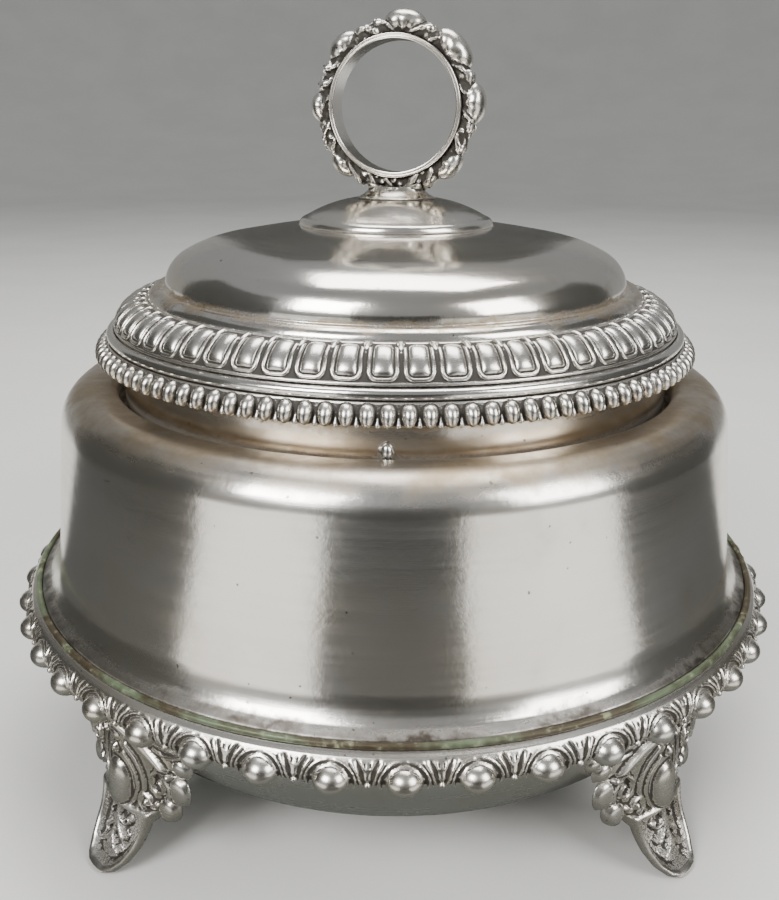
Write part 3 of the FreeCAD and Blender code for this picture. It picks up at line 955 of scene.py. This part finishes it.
# ---------------------------------------------------------------------------
# Ornament that repeats round the bowl
# ---------------------------------------------------------------------------
def make_border():
    """Flange with eggs in arched grooves and small leaves between them."""
    pitch = TAU * (BORDER_RADIUS - 2.9) / EGGS
    share, r, z, low, steps = cell_grid(pitch, (73.8, SEAM - 7.9), (85.2, SEAM + 0.1), 0.19)
    a, z = np.abs(share - 0.5) * pitch, z - SEAM
    section = [(74.85, -0.62), (80.2, -0.62), (81.3, -1.25), (82.4, -2.8), (82.8, -4.3), (82.4, -5.6),
               (81.4, -5.9), (80.4, -4.8), (79.4, -2.38), (74.85, -2.38)]
    metal = to_outline(r, z, section) - 0.05
    skin = np.interp(z, [-5.7, -4.3, -2.8, -1.25, -0.6], [82.4, 82.85, 82.45, 81.35, 80.3])
    flat = (a, (r - skin) * 0.9, z)

    def on_skin(points, lift):
        return [(p[0], lift, p[1]) for p in points]

    half = pitch / 2
    arch = [(half - 3.35 * math.cos(t), -4.75 + 2.75 * math.sin(t)) for t in np.linspace(-0.5, 1.57, 9)]
    rib = [(half - 3.9 * math.cos(t), -4.75 + 3.1 * math.sin(t)) for t in np.linspace(-0.42, 1.4, 9)]
    cuts = [
        (arch, 0.6, 0.2, 0.45),
        ([(1.3, -6.0), (1.5, -4.7), (1.95, -3.3), (2.9, -2.1)], 0.2, 0.14, 0.22),
        ([(0.45, -5.2), (0.7, -4.2), (1.0, -3.0), (1.75, -1.6)], 0.34, 0.26, 0.46),
        ([(0.12, -4.3), (0.24, -3.4), (0.45, -2.0)], 0.14, 0.2, 0.2),
    ]
    petal = [(1.05, -5.6), (1.2, -4.5), (1.6, -3.0), (2.5, -1.8)]
    leaf = [(0.1, -4.8), (0.3, -3.8), (0.6, -2.5), (0.95, -1.7)]
    for points, lift, start, end, middle, fillet in (
            (rib, -0.05, 0.3, 0.2, None, 0.15), (petal, -0.1, 0.3, 0.3, 0.42, 0.2),
            (leaf, -0.08, 0.18, 0.2, 0.34, 0.12)):
        metal = blend_min(metal, tube(flat, on_skin(points, lift), start, end, middle), fillet)
    for points, start, end, middle in cuts:
        metal = blend_max(metal, -tube(flat, on_skin(points, 0.14), start, end, middle), 0.12)
    place = (a, r, z)
    metal = blend_min(metal, oval(place, (half, 81.5, -5.1), (3.1, 3.1, 2.6)), 0.1)
    metal = blend_min(metal, oval(place, (0, 82.6, -5.35), (0.55, 0.65, 0.55)), 0.08)
    places, faces, wraps, hollow = net(metal, low, steps)
    phase = math.radians(-90 + 1.4) - TAU / EGGS
    vertices, faces, hollow = repeat_round(places, faces, wraps, hollow, EGGS, phase)
    cast("base_border", vertices, faces, "bowl", hollow)


def make_gadroons():
    """Quarter-round band of convex cabochons, each in a raised lip that is open at the top."""
    centre_r, centre_z = SKIRT_RADIUS - 6.7, SEAM + 51.5
    surface, reference = 7.05, 58.0
    arc_end = surface * math.acos((BAND_FOOT - centre_z) / 7.4)
    pitch = TAU * reference / GADROONS
    share, arc, rho, low, steps = cell_grid(pitch, (-0.6, 6.2), (arc_end + 0.6, 8.5), 0.18)
    radius = centre_r + 7.2 * np.sin(arc / surface)
    x = (share - 0.5) * pitch
    middle, tall, wide = 4.6, 3.28, 1.78
    plate = blend_max(np.abs(rho - 6.95) - 0.22, blend_max(-arc, arc - arc_end, 0.1), 0.15)
    corner = np.clip(1.6 - 0.12 * (arc - 2), 0.9, 1.6)
    dx = np.maximum(np.abs(x) - (wide - corner), 0)
    dy = np.maximum(np.abs(arc - middle) - (tall - corner), 0)
    pad = np.sqrt(dx * dx + dy * dy) - corner
    crown = np.clip(1 - np.abs(x / wide) ** 2.3, 0, 1)
    crown = crown * np.clip(1 - np.abs((arc - middle) / tall) ** 6, 0, 1)
    cabochon = blend_max(rho - 7.02 - 0.8 * np.sqrt(crown), pad, 0.12)
    lip = np.sqrt((pad - 0.5) ** 2 + (rho - 7.22) ** 2 * 0.7) - 0.36
    lip = lip + np.clip(middle - tall + 1.3 - arc, 0, 2) * 0.4
    gap = np.minimum(share, 1 - share) * TAU * radius / GADROONS
    dart = tube((gap, arc, rho - 7.0), [(0, 0.9, 0.0), (0, 7.4, 0.0)], 0.7, 0.12)
    foot = np.sqrt((arc - arc_end + 0.42) ** 2 + (rho - surface) ** 2) - 0.36
    head = np.sqrt((arc - 0.25) ** 2 + (rho - surface) ** 2) - 0.32
    metal = plate
    for part, fillet in ((cabochon, 0.06), (lip, 0.12), (dart, 0.2), (foot, 0.15), (head, 0.15)):
        metal = blend_min(metal, part, fillet)
    metal = blend_max(metal, 6.72 - rho, 0.05)
    places, faces, wraps, hollow = net(metal, low, steps, 0.8)

    def to_section(along, out):
        turn = along / surface
        return centre_r + out * np.sin(turn), centre_z + out * np.cos(turn)

    phase = math.radians(-90 + 1.0)
    vertices, faces, hollow = repeat_round(places, faces, wraps, hollow, GADROONS, phase, to_section)
    cast("lid_gadroon_band", vertices, faces, "lid", hollow)


def make_beads():
    """Strip of upright oval beads with small darts between their feet."""
    low_z, radius = SEAM + 46.9, BEAD_RADIUS
    pitch = TAU * radius / BEADS
    share, r, z, low, steps = cell_grid(pitch, (58.9, low_z - 0.5), (radius + 0.5, low_z + 4.9), 0.16)
    x, z = (share - 0.5) * pitch, z - low_z
    section = [(59.4, 0.15), (61.7, 0.15), (62.0, 0.6), (61.9, 2.4), (61.3, 4.1), (59.4, 4.1)]
    metal = to_outline(r, z, section) - 0.05
    narrowing = 1 + 0.10 * (z - 2.3)
    bead = oval((x / narrowing, r + 0.2 * (z - 2.3), z), (0, radius - 1.78, 2.1), (1.3, 1.72, 1.9))
    gap = np.minimum(share, 1 - share) * pitch
    dart = tube((gap, r - radius + 1.5, z), [(0, 0, 0.6), (0, -0.6, 2.4)], 0.5, 0.1)
    metal = blend_min(metal, bead, 0.1)
    metal = blend_min(metal, dart, 0.12)
    places, faces, wraps, hollow = net(metal, low, steps, 0.6)
    height = places[:, 2] - low_z
    over = places[:, 1] - np.interp(height, [0.15, 0.6, 2.4, 4.1], [61.7, 62.0, 61.9, 61.3])
    # Partly tarnish, partly painted shade: the ground between the beads is made at least this hollow so that
    # it comes out dark.
    ground = (np.abs(over + 0.1) < 0.3) & (np.abs(height - 2.15) < 1.75)
    hollow = np.where(ground, np.maximum(hollow, 0.6), hollow)
    phase = math.radians(-90 + 0.6)
    vertices, faces, hollow = repeat_round(places, faces, wraps, hollow, BEADS, phase)
    cast("lid_bead_band", vertices, faces, "lid", hollow)


make_border()
make_gadroons()
make_beads()


# ---------------------------------------------------------------------------
# Cast pieces
# ---------------------------------------------------------------------------
# The foot's face and back as (height, radius), its toe and upper part as (way from the middle, height).
FOOT_FRONT = [(-1, 83.0), (0.2, 82.8), (1.2, 82.2), (2.4, 81.3), (4, 80.2), (8, 77.9), (12, 76.7),
              (18, 76.0), (25, 76.0), (30, 76.3), (36, 77.3), (44, 78.6), (46, 78.9)]
FOOT_BACK = [(-1, 78.4), (3, 76.4), (9, 73.7), (16, 72.9), (24, 72.5), (31, 73.6), (36, 75.7), (46, 75.7)]
TOE = [(-4, 0.0), (2.4, 0.0), (4.6, 1.1), (6.4, 3.4), (7.6, 6.8), (8.3, 11.0), (9.2, 17.0), (-4, 17.0)]
ARM = [(-4, 14), (7.0, 16.0), (9.2, 17.0), (11.5, 18), (14.8, 22), (16.6, 27), (18.5, 30.0), (22.5, 33),
       (23.5, 37), (23.5, 45), (-4, 45)]


def along_height(z, table):
    """Smooth value at a height from a few (height, value) pairs."""
    curve = bowed(table, 0.3)
    return np.interp(z, curve[:, 0], curve[:, 1])


def stroke(a, z, points, start, end, height, middle=None):
    """Height of a round raised stroke along a curve; far below the ground elsewhere."""
    near, along = to_line((a, z), bowed(points))
    middle = (start + end) / 2 if middle is None else middle
    radius = np.interp(along, [0, 0.5, 1], [start, middle, end])
    return np.where(near < radius, height * np.sqrt(np.clip(1 - (near / radius) ** 2, 0, 1)), -2.0)


def pad_stroke(a, z, centre, radii, height, power=2.0):
    """Height of a domed oval."""
    away = (np.abs((a - centre[0]) / radii[0]) ** power + np.abs((z - centre[1]) / radii[1]) ** power)
    return np.where(away < 1, height * np.sqrt(np.clip(1 - away, 0, 1)), -2.0)


def drawn_height(z):
    """Height in the foot's drawing of a height on the foot, whose scrolls hang lower than drawn."""
    on_foot = [-1, 0, 6, 10, 13.8, 16.8, 21.8, 28, 34, 46]
    in_drawing = [-1, 0, 7.2, 12.2, 16.9, 19.2, 23.4, 28.6, 34, 46]
    return np.interp(z, on_foot, in_drawing)


def foot_relief(a, z):
    """Outline distance and relief height of the foot's front, mirrored about its middle."""
    z = drawn_height(z)
    toe = to_outline(a, z, TOE)
    edge = np.minimum(toe, to_outline(a, z, ARM))
    lobes = [((12.6, 19.0), 2.6), ((15.7, 23.3), 3.1), ((17.6, 28.4), 2.5), ((20.6, 31.4), 2.2)]
    for (ca, cz), radius in lobes:
        edge = blend_min(edge, np.hypot(a - ca, z - cz) - radius, 0.25)

    inside = np.clip((toe + 2.0) / -0.4, 0, 1) * np.clip((16.4 - z) / 0.8, 0, 1)
    ground = -0.45 - 0.95 * inside
    face = ground.copy()
    rim = np.sqrt(np.clip(1 - ((toe + 1.05) / 1.05) ** 2, 0, 1)) * 1.35
    face = np.where((z < 16.8) & (toe > -2.1), np.maximum(face, -0.6 + rim), face)
    marks = [stroke(a, z, *lie) for lie in (
        ([(1.8, 32.5), (4.2, 30.8), (8.2, 28.4), (11.6, 27.0), (14.2, 25.6)], 0.7, 0.6, 1.25, 1.5),
        ([(3.2, 28.0), (5.6, 25.6), (6.9, 22.0), (6.4, 18.6), (4.0, 15.6), (0, 14.3)], 0.35, 0.5, 0.75, 0.6),
        ([(2.2, 26.0), (4.3, 23.6), (5.1, 20.6), (4.5, 18.2), (2.6, 16.1), (0, 15.4)], 0.3, 0.4, 0.6, 0.42),
        ([(7.0, 17.0), (5.8, 18.2), (6.6, 19.7), (8.3, 19.4), (9.4, 18.4), (10.6, 19.0)], 0.4, 0.55, 0.95),
        ([(10.6, 29.6), (14.5, 29.4), (18.2, 31.0)], 0.35, 0.5, 0.6),
        ([(8.5, 31.6), (13.0, 31.4), (18.0, 33.4)], 0.4, 0.5, 0.6),
    )]
    marks += [pad_stroke(a, z, *lie) for lie in (
        ((0, 19.6), (3.45, 4.5), 1.9, 2.3),
        ((0, 26.2), (0.95, 0.95), 1.1),
        ((0, 28.6), (1.6, 1.0), 0.6),
        ((7.4, 18.2), (0.6, 0.6), 1.0),
        ((15.9, 23.2), (2.7, 2.5), 1.0),
        ((12.9, 18.6), (2.2, 2.0), 0.95),
        ((17.4, 28.3), (1.9, 1.7), 1.1),
        ((20.6, 31.2), (1.7, 1.5), 1.2),
    )]
    turns = np.linspace(0.2, 2.9 * math.pi, 40)
    volute = [(11.6 + (0.45 + 0.30 * t) * math.cos(2.2 - t), 23.2 + (0.45 + 0.30 * t) * math.sin(2.2 - t))
              for t in turns]
    near, along = to_line((a, z), volute)
    width = 0.36 + 0.28 * along
    marks.append(np.where(near < width, 1.25 * np.sqrt(np.clip(1 - (near / width) ** 2, 0, 1)), -2.0))
    for points, start, end in (
        ([(0, 15.2), (0.15, 13.0), (0.0, 11.2)], 0.55, 0.6),
        ([(0.1, 12.4), (1.3, 10.9), (2.6, 10.6), (3.2, 11.5), (2.6, 12.2)], 0.45, 0.3),
        ([(0.2, 11.2), (1.4, 9.0), (2.9, 7.6)], 0.5, 0.75),
        ([(0, 11.2), (0, 8.6), (0, 6.0)], 0.5, 0.95),
        ([(0.4, 7.2), (1.6, 5.4), (3.0, 4.6)], 0.4, 0.55),
    ):
        marks.append(stroke(a, z, points, start, end, 0.85))
    for mark in marks:
        face = blend_max(face, np.maximum(ground, -0.9) + mark, 0.12)
    for points in ([(9.5, 25.0), (12.5, 26.0), (15.6, 26.2), (18.2, 25.9)],
                   [(12.9, 20.9), (14.2, 21.2), (16.6, 20.6)],
                   [(16.0, 26.6), (17.6, 26.1), (20.0, 26.4)],
                   [(18.3, 30.3), (19.2, 29.7), (21.0, 29.0)]):
        near, _ = to_line((a, z), bowed(points))
        face = face - 0.8 * np.exp(-(near / 0.28) ** 2)
    return edge, face


def foot_mesh():
    """Places, faces and hollowness of one foot, with x out from the bowl's axis and y to its right."""
    (t, x, z), low, steps = grid((-26, 70.5, -0.8), (26, 86.5, 44.9), 0.24)
    a = np.abs(t)
    edge, face = foot_relief(a[:, 0, :], z[:, 0, :])
    edge, face = edge[:, None, :], face[:, None, :]
    sag = 1.7 * (1 - np.exp(-(a / 6.0) ** 2)) + a * a / 160
    front = along_height(z, FOOT_FRONT) - 0.35 - sag
    lean = np.sqrt(1 + np.gradient(front[0, 0], steps[2]) ** 2)
    metal = (x - front - face) / lean
    metal = blend_max(metal, edge, 1.3)
    behind = front - x - 0.9 - 10 * np.clip((z - 11) / 3, 0, 1)
    metal = blend_max(metal, (edge + behind) * 0.7, 0.8)
    back = along_height(z, FOOT_BACK) - 0.8 * sag
    metal = blend_max(metal, (back - x) * 0.95, 0.4)
    metal = blend_max(metal, -z, 0.3)
    metal = blend_max(metal, z - 43.4, 0.3)
    places, faces, hollow = net_alone(blur(metal, 0.55), low, steps, 0.6)
    vertices = places[:, [1, 0, 2]]
    drawn = drawn_height(places[:, 2])
    sunken = to_outline(np.abs(places[:, 0]), drawn, TOE) < -1.9
    in_front = places[:, 1] > along_height(places[:, 2], FOOT_FRONT) - 4.0
    hollow = np.where(sunken & in_front & (drawn < 16.0), np.maximum(hollow, 0.3), hollow)
    return vertices, outward(vertices, faces), hollow


def make_feet():
    """Four cast feet, all of one shape."""
    vertices, faces, hollow = foot_mesh()
    for name, azimuth in (("foot_front_left", -135), ("foot_front_right", -45),
                          ("foot_back_right", 45), ("foot_back_left", 135)):
        cast(name, turned(vertices, math.radians(azimuth)), faces, "bowl", hollow)


def ring_to_world(vertices):
    """From the ring's own axes (right, away, up) to the frame's."""
    return turned(vertices, RING_YAW) + np.array([0, 0, RING_CENTRE])


def make_ring():
    """Cast ring: smooth lobes, leaves and knots round a plain core."""
    (w, x, z), low, steps = grid((-4.4, -19.6, -19.6), (4.4, 19.6, 19.6), 0.24)
    core_radius, thick, half_width = 14.6, 1.75, 2.45

    def over_core(rho, w):
        return (np.sqrt(((rho - core_radius) / thick) ** 2 + (w / half_width) ** 2) - 1) * thick

    rho, theta = np.hypot(x, z), np.arctan2(z, x)
    metal = over_core(rho, w)
    lobes = [(84, 15.9, 4.2, 2.5), (43, 15.8, 4.8, 2.7), (3, 16.0, 3.8, 2.4), (-45, 16.0, 3.2, 2.1),
             (-135, 16.0, 3.0, 2.0), (180, 16.1, 2.9, 2.1), (134, 16.0, 3.6, 2.2)]
    cover = 0
    for angle, _, wide, _ in lobes:
        apart = np.abs((theta - math.radians(angle) + math.pi) % TAU - math.pi) * 15 / wide
        cover = np.maximum(cover, np.clip(1.35 - apart, 0, 1))
    leaf_count = 21
    slant = (theta + 0.07 * (rho - 15) * np.where(x > 0, 1, -1)
             + 0.05 * np.sin(3 * theta + w) + 0.04 * np.sin(7 * theta))
    beat = (slant * leaf_count / TAU) % 1 - 0.5
    across = beat * TAU * rho / leaf_count
    fullness = (0.6 + 0.15 * np.sin(5 * theta + 1.0)) * (1 - 0.7 * cover)
    ridge = np.sqrt(across ** 2 * 0.5 + metal ** 2) - fullness
    metal = blend_min(metal, ridge, 0.25)
    vein = np.sqrt(((beat * 3) % 1 - 0.5) ** 2 + metal ** 2) - 0.16
    metal = blend_max(metal, -vein, 0.08)
    knots = np.sin(31 * theta + 1.7 * np.sin(4 * theta) + 1.2 * w) * np.sin(2.3 * w + 9 * theta + 2.2 * rho)
    metal = metal - 0.5 * np.clip(knots, 0, 1) * (1 - cover)
    for angle, reach, wide, deep in lobes:
        turn = math.radians(angle)
        out = x * math.cos(turn) + z * math.sin(turn) - reach
        along = -x * math.sin(turn) + z * math.cos(turn)
        lobe = oval((along, out, w), (0, 0, 0), (wide, deep, 3.2))
        fan = np.arctan2(along, out + 3.2)
        ribs = 0.13 * np.cos(fan * 9) * np.clip(1.2 - out, 0, 1) * np.clip(out + 2.2, 0, 1)
        metal = blend_min(metal, lobe - ribs, 0.2)
        for hand in (-1, 1):
            beside = (along - hand * (wide + 0.9), out + 0.9, np.abs(w) - 1.5)
            curl = oval(beside, (0, 0, 0), (1.1, 1.0, 1.0))
            metal = blend_min(metal, curl, 0.15)
    metal = blend_max(metal, 13.72 - rho, 0.15)
    metal = blend_max(metal, np.abs(w) - 3.25, 0.2)
    places, faces, hollow = net_alone(blur(metal, 0.5), low, steps, 0.8)
    vertices = places[:, [1, 0, 2]]
    # Partly tarnish, partly painted shade: the low parts near the core are made hollow so that they come out
    # dark.
    lift = over_core(np.hypot(places[:, 1], places[:, 2]), places[:, 0])
    hollow = np.maximum(hollow, np.clip(0.95 - lift / 0.4, 0, 1))
    cast("finial_ring", ring_to_world(vertices), outward(vertices, faces), "lid", hollow)


def make_liner():
    """Smooth band inside the ring: a rolled rim at either side of a shallow groove."""
    inner, outer, wide = LINER_RADIUS - 0.95, LINER_RADIUS, 3.6
    path = trace([
        (inner, -wide + 0.25), (inner + 0.22, -wide, 0.24), (inner + 0.4, -wide + 0.22, 0.3),
        (outer - 0.4, -wide + 0.22), (outer - 0.2, -wide, 0.3), (outer, -wide + 0.25, 0.24),
        (outer, wide - 0.25), (outer - 0.2, wide, 0.24), (outer - 0.4, wide - 0.22, 0.3),
        (inner + 0.4, wide - 0.22), (inner + 0.22, wide, 0.3), (inner, wide - 0.25, 0.24),
        (inner, -wide + 0.25),
    ], 0.08)[:-1]
    loop = thin_out(path, 8, 1.2)
    segments = 200
    vertices = turn_loop(loop, segments)[:, [0, 2, 1]]
    faces = outward(vertices, np.array(ring_faces(len(loop), segments, True)))
    mesh("finial_ring_liner", ring_to_world(vertices), faces, "lid", SILVER["plate"])


def make_neck():
    """Short stem that flares into the plate, hollowed to fit the ring."""
    base = span("finial_neck")[0].z
    (x, y, z), low, steps = grid((-9.8, -9.8, base - 0.5), (9.8, 9.8, base + 5.2), 0.2)
    height = z - base
    c, s = math.cos(RING_YAW), math.sin(RING_YAW)
    along, across = x * c + y * s, y * c - x * s
    r = np.hypot(along, across * (1 + 0.3 * np.clip(height / 2.6, 0, 1)))
    waist = np.interp(height, [0, 0.3, 0.8, 1.5, 2.3, 3.4, 5], [9.0, 7.9, 6.9, 6.1, 5.75, 5.8, 6.2])
    metal = (r - waist) * 0.8
    turn = np.arctan2(across, along)
    metal = metal - 0.2 * (np.abs(np.sin(turn * 3 + 0.4)) - 0.5) * np.clip(height / 2 - 0.3, 0, 1)
    for k in range(6):
        angle = TAU * (k + 0.5) / 6
        lump = oval((along - 5.0 * math.cos(angle), across - 4.0 * math.sin(angle), height),
                    (0, 0, 2.7), (1.5, 1.3, 0.9))
        metal = blend_min(metal, lump, 0.4)
    for limit, fillet in ((-height, 0.2), (15.6 - np.hypot(along, z - RING_CENTRE), 0.15),
                          (height - 4.6, 0.3), (1.9 - np.hypot(x, y), 0.1)):
        metal = blend_max(metal, limit, fillet)
    places, faces, hollow = net_alone(blur(metal, 0.5), low, steps, 0.5)
    cast("finial_neck", places, outward(places, faces), "lid", hollow)


def make_tack():
    """Blob of solder with a pit beside it."""
    middle = sum(span("collar_solder_tack"), Vector()) / 2
    azimuth = math.atan2(middle.y, middle.x)
    (x, y, z), low, steps = grid((-2.2, -2.2, -2.4), (2.2, 2.2, 2.4), 0.1)
    metal = oval((x, y, z), (0.1, 0.25, 0.0), (1.1, 1.1, 1.85))
    for centre, radii, fillet in (((-0.1, 0.0, 1.0), (0.8, 0.5, 0.5), 0.35),
                                  ((-0.2, -0.75, 0.6), (0.7, 0.6, 0.5), 0.3),
                                  ((-0.2, 0.75, -0.7), (0.7, 0.55, 0.45), 0.3)):
        metal = blend_min(metal, oval((x, y, z), centre, radii), fillet)
    metal = blend_max(metal, -oval((x, y, z), (0.55, -0.85, -0.1), (0.6, 0.4, 0.6)), 0.1)
    places, faces, hollow = net_alone(metal, low, steps, 0.4)
    vertices = turned(places, azimuth) + np.array(middle)
    faces = outward(places, faces)
    mesh("collar_solder_tack", vertices, faces, "lid", SILVER["solder"], 75, hollow)


def make_fixings():
    """Threaded stud, washer and six-sided nut that hold the finial under the dome."""
    stud_low, stud_high = span("finial_stud")
    radius, pitch, depth, chamfer, columns = stud_high.x, 0.8, 0.3, 0.35, 48
    heights = np.arange(stud_low.z, stud_high.z, 0.1)
    angles = np.linspace(0, TAU, columns, endpoint=False)
    phase = (heights[:, None] / pitch - angles[None, :] / TAU) % 1
    ends = np.minimum(heights - stud_low.z, stud_high.z - heights)[:, None]
    r = radius - depth * np.abs(phase * 2 - 1) - np.clip(chamfer - ends, 0, chamfer)
    points = np.stack([r * np.cos(angles), r * np.sin(angles), heights[:, None] + 0 * r], 2).reshape(-1, 3)
    caps = [[0, 0, heights[0]], [0, 0, heights[-1]]]
    faces = capped_faces(len(heights), columns)
    vertices = np.concatenate([points, caps])
    mesh("finial_stud", vertices, faces, "lid", BRASS, 20)

    low, high = span("finial_washer")
    bore = radius + 0.05
    plain_ring("finial_washer", [(bore, low.z), (high.x, low.z), (high.x, high.z), (bore, high.z)],
               "lid", BRASS, 0.05)

    low, high = span("finial_nut")
    (x, y, z), lowest, steps = grid((-5.2, -5.2, low.z - 0.4), (5.2, 5.2, high.z + 0.4), 0.12)
    flats = min(high.x, high.y)
    metal = np.maximum.reduce([np.abs(x * math.cos(t) + y * math.sin(t)) - flats
                               for t in (math.pi / 2, math.pi / 6, -math.pi / 6)])
    r = np.hypot(x, y)
    middle, half = (low.z + high.z) / 2, (high.z - low.z) / 2
    metal = blend_max(metal, np.abs(z - middle) - half, 0.1)
    metal = blend_max(metal, (r + (np.abs(z - middle) - half) * 1.7 - flats - 0.1) * 0.5, 0.1)
    metal = blend_max(metal, radius + 0.02 - r, 0.08)
    places, faces, _ = net_alone(metal, lowest, steps)
    mesh("finial_nut", places, outward(places, faces), "lid", BRASS, 35)


make_feet()
make_ring()
make_liner()
make_neck()
make_tack()
make_fixings()
